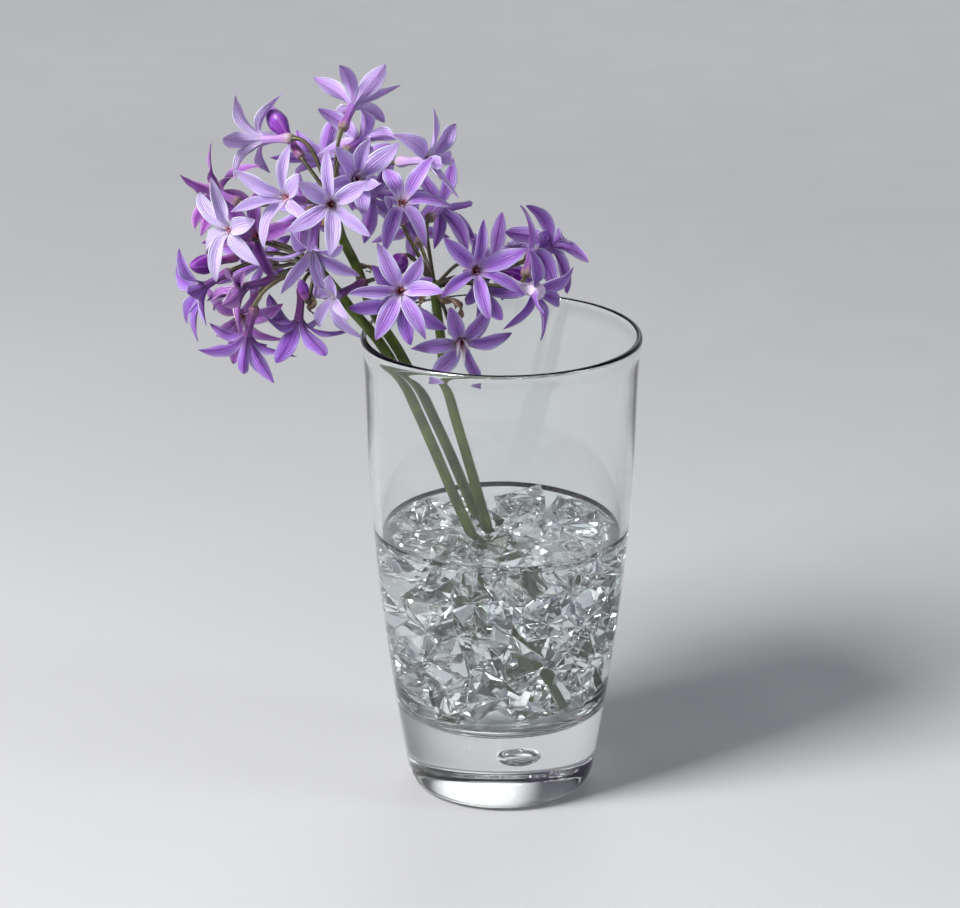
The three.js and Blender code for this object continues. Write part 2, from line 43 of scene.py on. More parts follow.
# Three stems of lilac star flowers in a glass tumbler of water and clear chunks. +Z is up, -Y the
# front, the origin under the tumbler's middle. Lengths are in millimetres as far as the floor.
MM = 0.001
TAU = 2 * math.pi
UP = Vector((0, 0, 1))

# The eye's place and tilt, its focal length in pixels, and the picture's size in pixels
EYE = Vector((-6.1, -940.0, 431.6))
EYE_PITCH = math.radians(19.4)
EYE_FOCAL = 3478.0
PICTURE = (960, 908)
AHEAD = Vector((0, math.cos(EYE_PITCH), -math.sin(EYE_PITCH)))
RIGHT = Vector((1, 0, 0))
UPWARD = Vector((0, math.sin(EYE_PITCH), math.cos(EYE_PITCH)))

GLASS_FLOOR = 23.0
WATER_LEVEL = 78.4
SCAPE_WIDTH = 3.0
SCAPE_STEPS = 90
PEDICEL_WIDTH = 1.25
PEDICEL_STEPS = 26
HEAD_RISE = 0.35
TUBE_LENGTH = 12.0
PETAL_LENGTH = 15.0
PETAL_WIDTH = 5.3
PETALS = 6
BUD_WIDTH = 5.6
CRYSTAL_WIDTH = 20.0
CRYSTAL_LAYERS = 4
CRYSTAL_CORNERS = 7
CRYSTAL_EDGE = 0.35
CHIP_WIDTH = 7.0
CHIP_CORNERS = 9
CHIP_EDGE = 0.3
CHIP_TRIES = 60
SEED = 2

# The tumbler's profile as (radius, height), from under the foot up and over the lip
OUTSIDE = [(27, 4), (28.1, 9.6), (28.8, 14), (31.3, 30.3), (35.7, 65.5), (38.1, 101.8), (38.8, 124)]
INSIDE = [(28.2, 28.5), (30.1, 36.7), (33.4, 65.5), (35.3, 95.7), (36.8, 124)]
UNDERSIDE = [(0, 0.7), (10, 0.65), (17, 0.4), (20.4, 0.02), (22.4, 0.04), (24.6, 0.6), (26, 1.7)]
LIP = [(39.4, 132.6), (39.9, 134.8), (39.95, 136), (39.3, 136.95), (38.5, 136.8), (38, 135.6), (37.6, 132.6)]
FLOOR = [(0, 23), (8, 23), (16, 23.05), (22.5, 23.5), (26, 25.2)]
# The air bubble in the foot: its middle, half width and half height
BUBBLE = {"middle": (3.4, 0.0, 12.3), "across": 4.1, "up": 3.0}
# The heap's lowest and highest layer, its way in from the wall, between rings and between chunks,
# and its disorder, all in widths of a chunk
HEAP = {"lowest": 0.5, "highest": 0.22, "wall": 0.53, "ring": 0.74, "step": 0.75, "play": 0.16}
# How far a chunk keeps from the wall and the floor, and how far out it reaches on the floor
WALL_GAP, FLOOR_GAP, FLOOR_ROOM = 0.4, 0.5, 21.5

# Places in the picture are (across, down) in pixels. A depth is the place's Y.

# Each stem: its places from the head down to the rim as (across, down, depth), then its places at
# the water and at the floor
STEMS = {
    "a": (
        [(317, 267, -3), (342, 297, -3), (351, 309, -2.6), (386, 352, -2.2)],
        [(-8.6, -4.6, WATER_LEVEL), (16, -5.6, 26.5)],
    ),
    "b": (
        [(334, 207, 2), (341, 235, 2), (357, 268, 2.4), (372, 309, 2.8), (402, 357, 3)],
        [(-6.4, 4.4, WATER_LEVEL), (12, 6, 26.5)],
    ),
    "c": (
        [(434, 288, 0), (441, 340, 0), (446, 384, 0)],
        [(-4, 0.2, WATER_LEVEL), (8, -0.6, 26.5)],
    ),
}

# Each flower: throat and foot of its tube in the picture, the throat's depth, whether it turns
# away, and its tone: how pale it is (above 0) or how deep (below 0). The tone is partly the
# flower's own paler or deeper lilac and partly painted light and shade: flowers that face the
# light are painted paler, and flowers low down and at the right, which lie in shade, deeper
BLOOMS = {
    "a1": ((312, 252), (317, 216), -15, False, 0.3),
    "a2": ((226, 229), (250, 238), -9, False, 0.85),
    "a3": ((200, 289), (231, 271), -2, False, -0.45),
    "a4": ((246, 340), (255, 306), -11, True, -0.45),
    "a5": ((240, 288), (277, 279), -7, False, 0.15),
    "a6": ((240, 317), (259, 293), 3, False, -0.1),
    "a7": ((298, 325), (303, 284), -6, True, -0.75),
    "a8": ((254, 236), (270, 241), 5, False, -0.5),
    "a9": ((262, 262), (276, 266), 22, True, -0.3),
    "b1": ((354, 103), (342, 130), 11, True, 0.4),
    "b2": ((258, 140), (293, 138), 8, True, 0.75),
    "b3": ((216, 192), (240, 203), 6, True, -0.05),
    "b4": ((283, 197), (305, 200), -17, False, 0.6),
    "b5": ((331, 204), (332, 206), -25, False, 0.5),
    "b6": ((357, 178), (348, 192), -14, False, 0.45),
    "b7": ((361, 140), (344, 152), 7, True, 0.25),
    "b8": ((322, 160), (330, 176), 17, True, -0.1),
    "b9": ((430, 160), (396, 162), -2, False, 0.3),
    "b10": ((374, 196), (364, 190), 11, True, -0.3),
    "b11": ((303, 212), (312, 210), 28, True, 0.0),
    "b12": ((350, 172), (346, 182), 31, True, 0.0),
    "c1": ((402, 201), (403, 222), -12, False, 0.1),
    "c2": ((441, 207), (429, 219), 9, True, -0.35),
    "c3": ((477, 270), (466, 275), -17, False, -0.25),
    "c4": ((484, 291), (474, 283), 6, False, -0.3),
    "c5": ((533, 247), (525, 277), 10, True, -0.45),
    "c6": ((551, 244), (526, 260), 20, True, -0.2),
    "c7": ((536, 291), (505, 281), -14, False, -0.5),
    "c8": ((400, 291), (403, 289), -26, False, 0.12),
    "c9": ((402, 303), (412, 297), -12, False, -0.5),
    "c10": ((461, 343), (452, 329), -15, False, 0.05),
    "c11": ((333, 297), (366, 282), -13, False, 0.55),
    "c12": ((414, 228), (420, 244), 25, True, -0.1),
    "c13": ((494, 262), (480, 272), 31, True, -0.1),
}
# The crowns of teeth round the throats, first the pale ones that show best: the teeth's length,
# droop, half width and how far they open out
CROWNS = {"c10": (5.0, 3.0, 0.95, 0.9), "a3": (3.8, 0.6, 0.75, 0.0), "b6": (3.2, 0.3, 0.75, 0.0)}
PLAIN_CROWN = (1.5, 0.0, 0.5, 0.0)
# Paler and redder throats, the share of the usual depth of colour that each keeps, and how pale
# the teeth in a pale one are
PALE_THROATS = ("a2", "b4", "c7", "c11")
PALE_SHARE = 0.6
PALE_TOOTH = 0.75
REDDER_THROATS = ("b5", "c3", "c8")
REDDER_SHARE = 0.82
# The flower that is only half open, and its mouth's tone
HALF_OPEN = "c7"
MOUTH_TONE = 1.3
# The flowers with the pinker petals
ROSY = ("a5", "a6", "a8", "b3")
# How bluntly petals end: the inner and outer ones, and a flower's where they aren't like the rest
BLUNT_INNER, BLUNT_OUTER = 0.3, 0.1
BLUNT = {"a7": 0.9, "c4": 0.5, "c6": 1.0, "c9": 0.4, "c13": 0.6, "b2": 0.0, "a3": 0.0, "a4": 0.0}
# How far the petals are twisted edge-on, in degrees: all of a flower's, or each in turn
TURNED = {"b3": 75, "c5": -50, "a3": 20, "a5": 30, "a2": (0, 50, 62, 0, 0, 0)}
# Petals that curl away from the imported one: flower, number, and the tip as (across, down, depth)
CURLED = {
    ("a5", 2): (226, 268, -17), ("a5", 3): (207, 301, -2),
    ("c5", 0): (504, 246, 20), ("c5", 2): (547, 229, 19), ("c5", 3): (553, 268, 17), ("c5", 4): (556, 297, 3),
    ("c6", 2): (562, 240, 8),
}
# How pale (above 0) or deep (below 0) a tube is, and those that aren't like the rest. Partly the
# tube's own colour, partly painted shade: tubes that lie in shade are made deeper
TUBE_TONE = -0.15
TUBE_TONES = {
    "a2": -0.4, "a3": -0.6, "a4": -0.9, "a5": -0.8, "a6": -0.5, "a7": -1.1, "b1": -0.25, "b2": 0.3,
    "b3": -0.6, "b9": 0.7, "c7": 0.9, "c11": -0.95,
}

# Each bud: its tip and the foot of its tube in the picture, the tip's depth, its length, whether
# it turns away, and its tone: partly its own deeper or paler violet, partly painted shade, the
# deepest for the bud that lies in shade
BUDS = {
    "a1": ((190, 267), (238, 257), 2, 18, False, -0.1),
    "b1": ((268, 107), (302, 158), 15, 19, True, 0.8),
    "c1": ((392, 272), (404, 256), -10, 9, False, 0.0),
    "c2": ((531, 285), (479, 264), 9, 17, False, -0.8),
}

# A small bud that has no solid of its own, and its outline as (radius, height)
SMALL_BUD = ((300, 279), (306, 300), -13, 6.6, False, 0.7)
SMALL_BUD_OUTLINE = [(0.35, 0), (0.8, 0.4), (1.2, 1.6), (1.6, 3.4), (1.1, 5.4), (0.08, 6.6)]

# Dry, curled bracts at the heads: stem, width, and the way each goes as (across, down, depth)
BRACTS = [
    ("a", 3.2, [
        (317, 270, -2), (315, 283, -2), (312, 294, -4), (316, 302, -5.5), (311, 309, -5), (315, 315, -4),
    ]),
    ("a", 2.2, [(319, 270, -1), (325, 278, 2), (329, 290, 4), (325, 298, 6), (320, 293, 7)]),
    ("b", 1.9, [
        (336, 213, 3), (346, 238, 8), (357, 262, 7), (364, 265, 4), (370, 266, 3), (371, 271, 4),
        (366, 271, 6),
    ]),
    ("b", 2.4, [(332, 212, 3), (326, 222, 6), (318, 229, 8), (313, 224, 9)]),
    ("c", 3.4, [
        (436, 292, -2), (443, 297, -5), (453, 300, -8), (462, 306, -8.5), (461, 315, -7), (452, 316, -5.5),
        (448, 309, -5.5),
    ]),
    ("c", 2.6, [(431, 291, 1), (424, 299, 4), (421, 309, 6), (426, 316, 7)]),
]


def draws_from(seed):
    """Even draws from 0 to 1, the same on every run."""
    state = seed
    while True:
        state = (state * 1664525 + 1013904223) % 4294967296
        yield state / 4294967296


# Places and curves
def sight(pixel):
    across = (pixel[0] - PICTURE[0] / 2) / EYE_FOCAL
    up = (PICTURE[1] / 2 - pixel[1]) / EYE_FOCAL
    return (AHEAD + RIGHT * across + UPWARD * up).normalized()


def at_pixel(pixel, depth):
    ray = sight(pixel)
    return EYE + ray * ((depth - EYE.y) / ray.y)


def on_sight(pixel, centre, reach):
    """The near and far places on a pixel's line of sight at a given reach from a centre."""
    ray = sight(pixel)
    beside = EYE + ray * (centre - EYE).dot(ray)
    half = math.sqrt(max(0.0, reach * reach - (beside - centre).length_squared))
    return [centre + (beside + ray * step - centre).normalized() * reach for step in (-half, half)]


def stance(end, base, depth, length, away):
    """A flower's or bud's far end, foot and facing."""
    tip = at_pixel(end, depth)
    near, far = on_sight(base, tip, length)
    foot = near if away else far
    return tip, foot, (tip - foot).normalized()


def spline(points, steps):
    """A centripetal Catmull-Rom curve through the points, even in its own measure."""
    points = [Vector(p) for p in points]
    first = points[0] * 2 - points[1]
    last = points[-1] * 2 - points[-2]
    chain = [first, *points, last]
    spans = len(points) - 1
    curve = []
    for i in range(steps + 1):
        place = spans * i / steps
        k = min(int(place), spans - 1)
        w = place - k
        p0, p1, p2, p3 = chain[k:k + 4]
        d0, d1, d2 = [max((b - a).length_squared ** 0.25, 1e-4) for a, b in ((p0, p1), (p1, p2), (p2, p3))]
        m1 = ((p1 - p0) / d0 - (p2 - p0) / (d0 + d1) + (p2 - p1) / d1) * d1
        m2 = ((p2 - p1) / d1 - (p3 - p1) / (d1 + d2) + (p3 - p2) / d2) * d1
        curve.append(
            p1 + m1 * w + (p1 * -3 + p2 * 3 - m1 * 2 - m2) * w ** 2 + (p1 * 2 - p2 * 2 + m1 + m2) * w ** 3
        )
    return curve


def rounded(outline, steps):
    """An outline of (radius, height), drawn as a smooth curve."""
    return [(spot.x, spot.y) for spot in spline([(r, h, 0) for r, h in outline], steps)]


def cubic(a, b, c, d, steps):
    curve = []
    for i in range(steps + 1):
        t = i / steps
        s = 1 - t
        curve.append(a * s ** 3 + b * 3 * s * s * t + c * 3 * s * t * t + d * t ** 3)
    return curve


def eased(pairs, t):
    """A smooth value at t between the (place, value) pairs."""
    for (t0, v0), (t1, v1) in zip(pairs, pairs[1:]):
        if t <= t1:
            s = (t - t0) / (t1 - t0)
            return v0 + (v1 - v0) * s * s * (3 - 2 * s)
    return pairs[-1][1]


def threaded(pairs, t):
    """A value at t on a rounded curve through the (place, value) pairs."""
    k = max(i for i, (place, _) in enumerate(pairs[:-1]) if place <= t or i == 0)
    t0, v0 = pairs[k]
    t1, v1 = pairs[k + 1]
    before = pairs[max(k - 1, 0)]
    after = pairs[min(k + 2, len(pairs) - 1)]
    s = (t - t0) / (t1 - t0)
    m0 = (v1 - before[1]) / (t1 - before[0]) * (t1 - t0)
    m1 = (after[1] - v0) / (after[0] - t0) * (t1 - t0)
    s2, s3 = s * s, s * s * s
    return v0 * (2 * s3 - 3 * s2 + 1) + m0 * (s3 - 2 * s2 + s) + v1 * (3 * s2 - 2 * s3) + m1 * (s3 - s2)


def clear_of(direction):
    """A unit vector square to a direction."""
    side = direction.cross(UP)
    if side.length < 0.1:
        side = direction.cross(Vector((0, 1, 0)))
    return side.normalized()


def square_to(axis, way):
    """A way, turned square to an axis."""
    return (way - axis * way.dot(axis)).normalized()


def tangent_at(line, i):
    return (line[min(i + 1, len(line) - 1)] - line[max(i - 1, 0)]).normalized()


# Objects and meshes
def placed(name, data):
    """A new object in the scene."""
    made = bpy.data.objects.new(name, data)
    bpy.context.scene.collection.objects.link(made)
    return made


class Form:
    """Closed parts gathered into one mesh, with four numbers at each corner for the finish:
    place along, place round or across, kind of face, tone."""

    def __init__(self):
        self.spots = []
        self.faces = []
        self.grain = []
        self.parts = []

    def add(self, spots, faces, grain, part=0, hollow=False):
        volume = 0.0
        for face in faces:
            for k in range(1, len(face) - 1):
                a, b, c = spots[face[0]], spots[face[k]], spots[face[k + 1]]
                volume += a.dot(b.cross(c))
        if (volume < 0) != hollow:
            faces = [tuple(reversed(face)) for face in faces]
        start = len(self.spots)
        self.spots += spots
        self.faces += [tuple(start + i for i in face) for face in faces]
        self.grain += grain
        self.parts += [part] * len(faces)

    def piece(self, name, materials, slot, *nodes, smooth=True):
        mesh = bpy.data.meshes.new(name)
        mesh.from_pydata([spot * MM for spot in self.spots], [], self.faces)
        mesh.polygons.foreach_set("material_index", self.parts)
        mesh.polygons.foreach_set("use_smooth", [smooth] * len(self.faces))
        layer = mesh.attributes.new("grain", "FLOAT_COLOR", "POINT")
        layer.data.foreach_set("color", [value for spot in self.grain for value in spot])
        for material in materials:
            mesh.materials.append(material)
        mesh.update()
        made = placed(name, mesh)
        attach(made, "root")
        if nodes:
            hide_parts(*nodes)


def ring_faces(rows, sides):
    """The faces of a body of rings, closed at both ends."""
    faces = []
    for low in range(0, (rows - 1) * sides, sides):
        high = low + sides
        for k in range(sides):
            n = (k + 1) % sides
            faces.append((low + k, low + n, high + n, high + k))
    return [*faces, tuple(reversed(range(sides))), tuple(range((rows - 1) * sides, rows * sides))]


def ring(middle, side, other, radius, sides, flutes, depth, roll=0.0):
    """The places of a fluted ring."""
    spots = []
    for k in range(sides):
        angle = TAU * k / sides
        reach = radius * (1 + depth * math.cos(flutes * angle))
        spin = angle + roll
        spots.append(middle + side * (reach * math.cos(spin)) + other * (reach * math.sin(spin)))
    return spots


def add_rod(form, line, radii, sides, part, flutes, depth):
    """A lightly fluted rod along a line, with a radius at each of its places."""
    spots, grain = [], []
    side = clear_of(tangent_at(line, 0))
    for i, spot in enumerate(line):
        tangent = tangent_at(line, i)
        side = square_to(tangent, side)
        other = tangent.cross(side)
        spots += ring(spot, side, other, radii[i], sides, flutes, depth)
        grain += [(i / (len(line) - 1), k / sides, 0.0, 0.0) for k in range(sides)]
    form.add(spots, ring_faces(len(line), sides), grain, part)


def add_turned(form, profile, sides, foot, facing, part=0, tone=0.0, flutes=0, depth=None,
               roll=0.0, kinds=None, hollow=False):
    """A profile of (radius, height) turned about the facing, from foot to top. depth gives how
    far its flutes go at each height, and kinds what each height is."""
    side = clear_of(facing)
    other = facing.cross(side)
    spots, grain = [], []
    top = max(height for _, height in profile)
    for i, (radius, height) in enumerate(profile):
        deep = depth(height) if depth else 0.0
        spots += ring(foot + facing * height, side, other, radius, sides, flutes, deep, roll)
        kind = kinds[i] if kinds else 0.0
        grain += [(height / top, k / sides, kind, tone) for k in range(sides)]
    form.add(spots, ring_faces(len(profile), sides), grain, part, hollow)


def add_leaf(form, line, across_at, place_at, thick_at, columns, part=0, tone=0.0, kind=0.0):
    """A thin blade with a front and a back along a line. place_at(t, u) is how far out and how
    far up the front lies at u, from -1 at one edge to 1 at the other."""
    rows, wide = len(line), len(columns)
    front, back, grain = [], [], []
    for i, spot in enumerate(line):
        t = i / (rows - 1)
        tangent = tangent_at(line, i)
        across = square_to(tangent, across_at(t))
        normal = tangent.cross(across)
        for u in columns:
            out, up = place_at(t, u)
            top = spot + across * out + normal * up
            front.append(top)
            back.append(top - normal * thick_at(t, u))
            grain.append((t, 0.5 + 0.5 * u, kind, tone))
    shift = rows * wide
    faces = []
    for r in range(rows - 1):
        for k in range(wide - 1):
            a, b = r * wide + k, (r + 1) * wide + k
            faces.append((a, a + 1, b + 1, b))
            faces.append((shift + a, shift + b, shift + b + 1, shift + a + 1))
        left, right = r * wide, r * wide + wide - 1
        faces.append((left, left + wide, shift + left + wide, shift + left))
        faces.append((right + wide, right, shift + right, shift + right + wide))
    for k in range(wide - 1):
        low, high = k, (rows - 1) * wide + k
        faces.append((low + 1, low, shift + low, shift + low + 1))
        faces.append((high, high + 1, shift + high + 1, shift + high))
    grain += [(t, across, kind + 0.5, tone) for t, across, kind, tone in grain]
    form.add(front + back, faces, grain, part)


# Finishes
def shade(code):
    """A colour written as RRGGBB, in the renderer's own linear light."""
    parts = [int(code[i:i + 2], 16) / 255 for i in (0, 2, 4)]
    return (*[v / 12.92 if v <= 0.04045 else ((v + 0.055) / 1.055) ** 2.4 for v in parts], 1.0)


def plain(value):
    """A colour's code as a colour, and any other value as it is."""
    return shade(value) if isinstance(value, str) else value


class Nodes:
    """A node tree, with short calls to add to it."""

    def __init__(self, tree):
        self.tree = tree

    def node(self, kind, inputs=None, **settings):
        made = self.tree.nodes.new(kind)
        for key, value in settings.items():
            setattr(made, key, value)
        for socket, value in (inputs or {}).items():
            if isinstance(value, bpy.types.NodeSocket):
                self.tree.links.new(value, made.inputs[socket])
            else:
                made.inputs[socket].default_value = plain(value)
        return made

    def math(self, operation, *values, clamp=False):
        inputs = dict(enumerate(values))
        return self.node("ShaderNodeMath", inputs, operation=operation, use_clamp=clamp).outputs[0]

    def times(self, *values, clamp=False):
        return self.math("MULTIPLY", *values, clamp=clamp)

    def waves(self, value, count):
        """Even waves between 0 and 1."""
        wave = self.math("COSINE", self.times(value, TAU * count))
        return self.math("MULTIPLY_ADD", wave, 0.5, 0.5)

    def ramp(self, value, stops, smooth=True):
        """Colours by the value, as {place: colour}."""
        made = self.node("ShaderNodeValToRGB", {"Fac": value})
        made.color_ramp.interpolation = "EASE" if smooth else "LINEAR"
        elements = made.color_ramp.elements
        while len(elements) < len(stops):
            elements.new(0.5)
        for element, (place, colour) in zip(elements, stops.items()):
            element.position = place
            element.color = plain(colour)
        return made.outputs["Color"]

    def level(self, value, stops):
        """A grey ramp read as a number."""
        greys = {place: (grey, grey, grey, 1.0) for place, grey in stops.items()}
        return self.node("ShaderNodeSeparateColor", {"Color": self.ramp(value, greys)}).outputs[0]

    def mix(self, share, first, second, blend="MIX"):
        inputs = {0: share, 6: first, 7: second}
        return self.node("ShaderNodeMix", inputs, data_type="RGBA", blend_type=blend).outputs[2]

    def place(self):
        return self.node("ShaderNodeTexCoord").outputs["Object"]

    def noise(self, scale, detail=2.0):
        inputs = {"Vector": self.place(), "Scale": scale, "Detail": detail, "Roughness": 0.5}
        return self.node("ShaderNodeTexNoise", inputs).outputs["Fac"]


class Finish(Nodes):
    """A material with one Principled shader: how much it shines, how much light goes about a
    millimetre in, and the shader's other values."""

    def __init__(self, name, shine=0.5, soft=0.0, **values):
        self.material = bpy.data.materials.new(name)
        self.material.use_nodes = True
        super().__init__(self.material.node_tree)
        self.shader = self.tree.nodes["Principled BSDF"]
        values["Specular_IOR_Level"] = shine
        if soft:
            values |= {"Subsurface_Weight": soft, "Subsurface_Scale": 0.001}
        for socket, value in values.items():
            self.shader.inputs[socket.replace("_", " ")].default_value = value

    def link(self, source, socket):
        self.tree.links.new(source, self.shader.inputs[socket])

    def roughness(self, value, low, high):
        self.link(self.level(value, {0.3: low, 0.7: high}), "Roughness")

    def grain(self):
        """The four numbers at each corner: along, round or across, kind and tone."""
        source = self.node("ShaderNodeAttribute", attribute_name="grain")
        split = self.node("ShaderNodeSeparateColor", {"Color": source.outputs["Color"]})
        return split.outputs[0], split.outputs[1], split.outputs[2], source.outputs["Alpha"]

    def strands(self, along, across, tone, along_scale, across_scale, shift=0.0):
        """Noise drawn out lengthwise, different at each tone."""
        place = self.node("ShaderNodeCombineXYZ", {
            "X": self.times(across, across_scale),
            "Y": self.times(along, along_scale),
            "Z": self.math("MULTIPLY_ADD", tone, 57.0, shift),
        }).outputs[0]
        inputs = {"Vector": place, "Scale": 1.0, "Detail": 3.0, "Roughness": 0.6}
        return self.node("ShaderNodeTexNoise", inputs).outputs["Fac"]

    def bump(self, height, strength, distance):
        made = self.node("ShaderNodeBump", {"Height": height, "Strength": strength, "Distance": distance})
        self.link(made.outputs["Normal"], "Normal")


# How much of its tube's tone a petal's grain carries, beside whether it is the front or the back
TUBE_SHARE = 0.2
# The colours of a tube and of the foot of a petal's back: usual, pale and deep
TUBE_COLOUR, TUBE_PALE, TUBE_DEEP = "AA7ECE", "E8D6F2", "5C1C5C"


def petal_finish(name, rosy):
    """Veined petals, blushed pink by the share rosy."""
    finish = Finish(name, 0.4, 0.18, IOR=1.42, Sheen_Weight=0.1, Sheen_Roughness=0.4,
                    Subsurface_Radius=(1.0, 0.6, 1.1))
    along, across, side, tone = finish.grain()
    back_side = finish.math("GREATER_THAN", side, 0.25)
    # from 0 at the midline to 1 at either edge, and streaks that run with the petal
    edge = finish.math("ABSOLUTE", finish.math("MULTIPLY_ADD", across, 2.0, -1.0))
    streaks = finish.strands(along, across, tone, 1.8, 18.0)
    edge = finish.math("ADD", edge, finish.math("MULTIPLY_ADD", streaks, 0.12, -0.06))
    # the ramps run from a dark midline stripe to a near-white edge; the near-white edge is partly the petal's
    # own pale rim and partly painted rim light, light shining through the thin edge
    front = finish.ramp(edge, {
        0.0: "7840AC", 0.07: "9157C4", 0.18: "BA80E8", 0.32: "9F64D2",
        0.45: "BA86EA", 0.68: "B898EE", 0.88: "CABBF8", 1.0: "F2EEFF",
    })
    back = finish.ramp(edge, {
        0.0: "7A2C9C", 0.12: "9248BA", 0.26: "B87CE2", 0.36: "A76BD4",
        0.5: "BD8CEA", 0.72: "BF9FF0", 0.9: "CCBBF8", 1.0: "F2EEFF",
    })
    colour = finish.mix(back_side, front, back)
    # fine veins
    veins = finish.math("POWER", finish.waves(edge, 4.0), 2.0)
    share = finish.times(veins, finish.level(edge, {0.0: 0.34, 0.6: 0.25, 0.97: 0.0}))
    share = finish.times(share, finish.level(streaks, {0.3: 0.35, 0.7: 1.0}))
    colour = finish.mix(share, colour, "7444AC")
    # pale streaks, shinier too: partly the petal's own paler lines, partly painted sheen along them
    pale_and_sheen_streaks = finish.strands(along, across, tone, 2.4, 30.0, 7.0)
    colour = finish.mix(finish.level(pale_and_sheen_streaks, {0.46: 0.0, 0.7: 0.4}), colour, "E4DAFF")
    # a pale front close to the throat, the tube's colour running out over the back, a deeper tip
    root = finish.level(along, {0.0: 1.0, 0.13: 0.85, 0.34: 0.0, 1.0: 0.0})
    inside = finish.ramp(along, {0.0: "B98896", 0.05: "D6ACC2", 0.13: "EAD8F2"})
    root_back = finish.math("ADD", along, finish.times(edge, 0.12))
    root_back = finish.level(root_back, {0.0: 1.0, 0.12: 0.95, 0.48: 0.0, 1.0: 0.0})
    tube_tone = finish.math("MULTIPLY_ADD", side, 1 / TUBE_SHARE, -0.5 / TUBE_SHARE)
    outside = tube_toned(finish, tube_tone, TUBE_COLOUR)
    near = finish.mix(back_side, root, root_back)
    colour = finish.mix(near, colour, finish.mix(back_side, inside, outside))
    colour = finish.mix(finish.level(along, {0.0: 0.0, 0.84: 0.0, 1.0: 0.45}), colour, "8F5CC0")
    # broad, soft patches, and the flower's tone: partly its own paler or deeper lilac, partly
    # painted light and shade, paler where the flower is lit and deeper where it lies in shade
    patches = finish.level(finish.noise(110.0, 3.0), {0.35: 0.0, 0.7: 0.4})
    colour = finish.mix(patches, colour, "9C6CCC")
    colour = finish.mix(rosy, colour, "FFD3DF", "MULTIPLY")
    colour = finish.mix(finish.times(tone, 0.68, clamp=True), colour, "E5DDFF")
    colour = finish.mix(finish.times(tone, -1.0, clamp=True), colour, "A88CC0", "MULTIPLY")
    finish.link(colour, "Base Color")
    finish.roughness(pale_and_sheen_streaks, 0.5, 0.38)
    height = finish.math("ADD", finish.times(veins, -0.6), finish.times(streaks, 1.6))
    height = finish.math("ADD", height, finish.times(finish.noise(2400.0, 1.0), 0.4))
    finish.bump(height, 0.7, 0.0004)
    return finish.material


def tube_toned(finish, tone, colour):
    """A tube's colour, paler above tone 0 and deeper below."""
    colour = finish.mix(finish.times(tone, 0.6, clamp=True), colour, TUBE_PALE)
    return finish.mix(finish.times(tone, -0.8, clamp=True), colour, TUBE_DEEP)


def tube_finish():
    finish = Finish("flower_tube", 0.4, 0.15, Roughness=0.42)
    along, around, kind, tone = finish.grain()
    body = finish.ramp(along, {
        0.0: "7A7250", 0.06: "978668", 0.15: "AE90A0", 0.26: "AA74B4",
        0.45: "A673C6", 0.85: TUBE_COLOUR,
    })
    ribs = finish.waves(around, PETALS)
    streaks = finish.strands(along, around, tone, 2.0, 40.0)
    stripe = finish.math("POWER", ribs, 2.0)
    stripe = finish.times(stripe, finish.level(streaks, {0.3: 0.35, 0.7: 0.85}))
    body = tube_toned(finish, tone, finish.mix(stripe, body, "7E409C"))
    inside = finish.ramp(kind, {
        0.0: "D9BEDF", 0.2: "CFA2BC", 0.4: "B97B8A", 0.55: "9C5A60",
        0.75: "7E403E", 1.0: "562624",
    })
    colour = finish.mix(finish.level(kind, {0.04: 0.0, 0.15: 1.0}), body, inside)
    finish.link(colour, "Base Color")
    finish.bump(finish.math("ADD", finish.times(ribs, 0.6), streaks), 0.3, 0.0002)
    return finish.material


def tooth_finish():
    """Fleshy teeth, pale outside and red within."""
    finish = Finish("crown_tooth", 0.5, 0.25)
    along, across, side, tone = finish.grain()
    inner = finish.ramp(along, {
        0.0: "84403F", 0.5: "98585C", 0.85: "BC8292", 1.0: "D9ACBC",
    })
    outer = finish.ramp(along, {
        0.0: "D8A8BC", 0.3: "EACCE0", 0.6: "F6E6F4", 1.0: "FEFAFE",
    })
    colour = finish.mix(finish.math("MAXIMUM", finish.math("GREATER_THAN", side, 0.25), tone), inner, outer)
    streaks = finish.strands(along, across, tone, 2.0, 12.0)
    colour = finish.mix(finish.level(streaks, {0.4: 0.0, 0.7: 0.35}), colour, "C98AA6")
    finish.link(colour, "Base Color")
    finish.roughness(streaks, 0.25, 0.4)
    return finish.material


def bud_finish():
    """Buds from deep violet to lilac by their tone, with three pale seams."""
    finish = Finish("violet_bud", 0.45, 0.12)
    along, around, _, tone = finish.grain()
    deep = finish.ramp(along, {
        0.0: "7E6A58", 0.07: "96507C", 0.25: "983C92", 0.44: "700680",
        0.62: "6C0488", 0.9: "680488", 1.0: "8E3EAE",
    })
    light = finish.ramp(along, {
        0.0: "8E7868", 0.07: "A66A96", 0.25: "A85EAA", 0.44: "742494",
        0.62: "9A48C2", 0.9: "B270DC", 1.0: "A866CC",
    })
    colour = finish.mix(finish.math("MULTIPLY_ADD", tone, 0.7, 0.2, clamp=True), deep, light)
    streaks = finish.strands(along, around, tone, 2.0, 44.0)
    seam = finish.math("COSINE", finish.times(around, TAU * 3))
    seam = finish.math("POWER", finish.math("ABSOLUTE", seam), 14.0)
    colour = finish.mix(finish.times(seam, 0.35), colour, "C79CE4")
    colour = finish.mix(finish.level(streaks, {0.4: 0.0, 0.7: 0.5}), colour, "571676")
    finish.link(colour, "Base Color")
    finish.roughness(streaks, 0.32, 0.46)
    finish.bump(finish.math("ADD", finish.times(streaks, 0.8), seam), 0.4, 0.0002)
    return finish.material


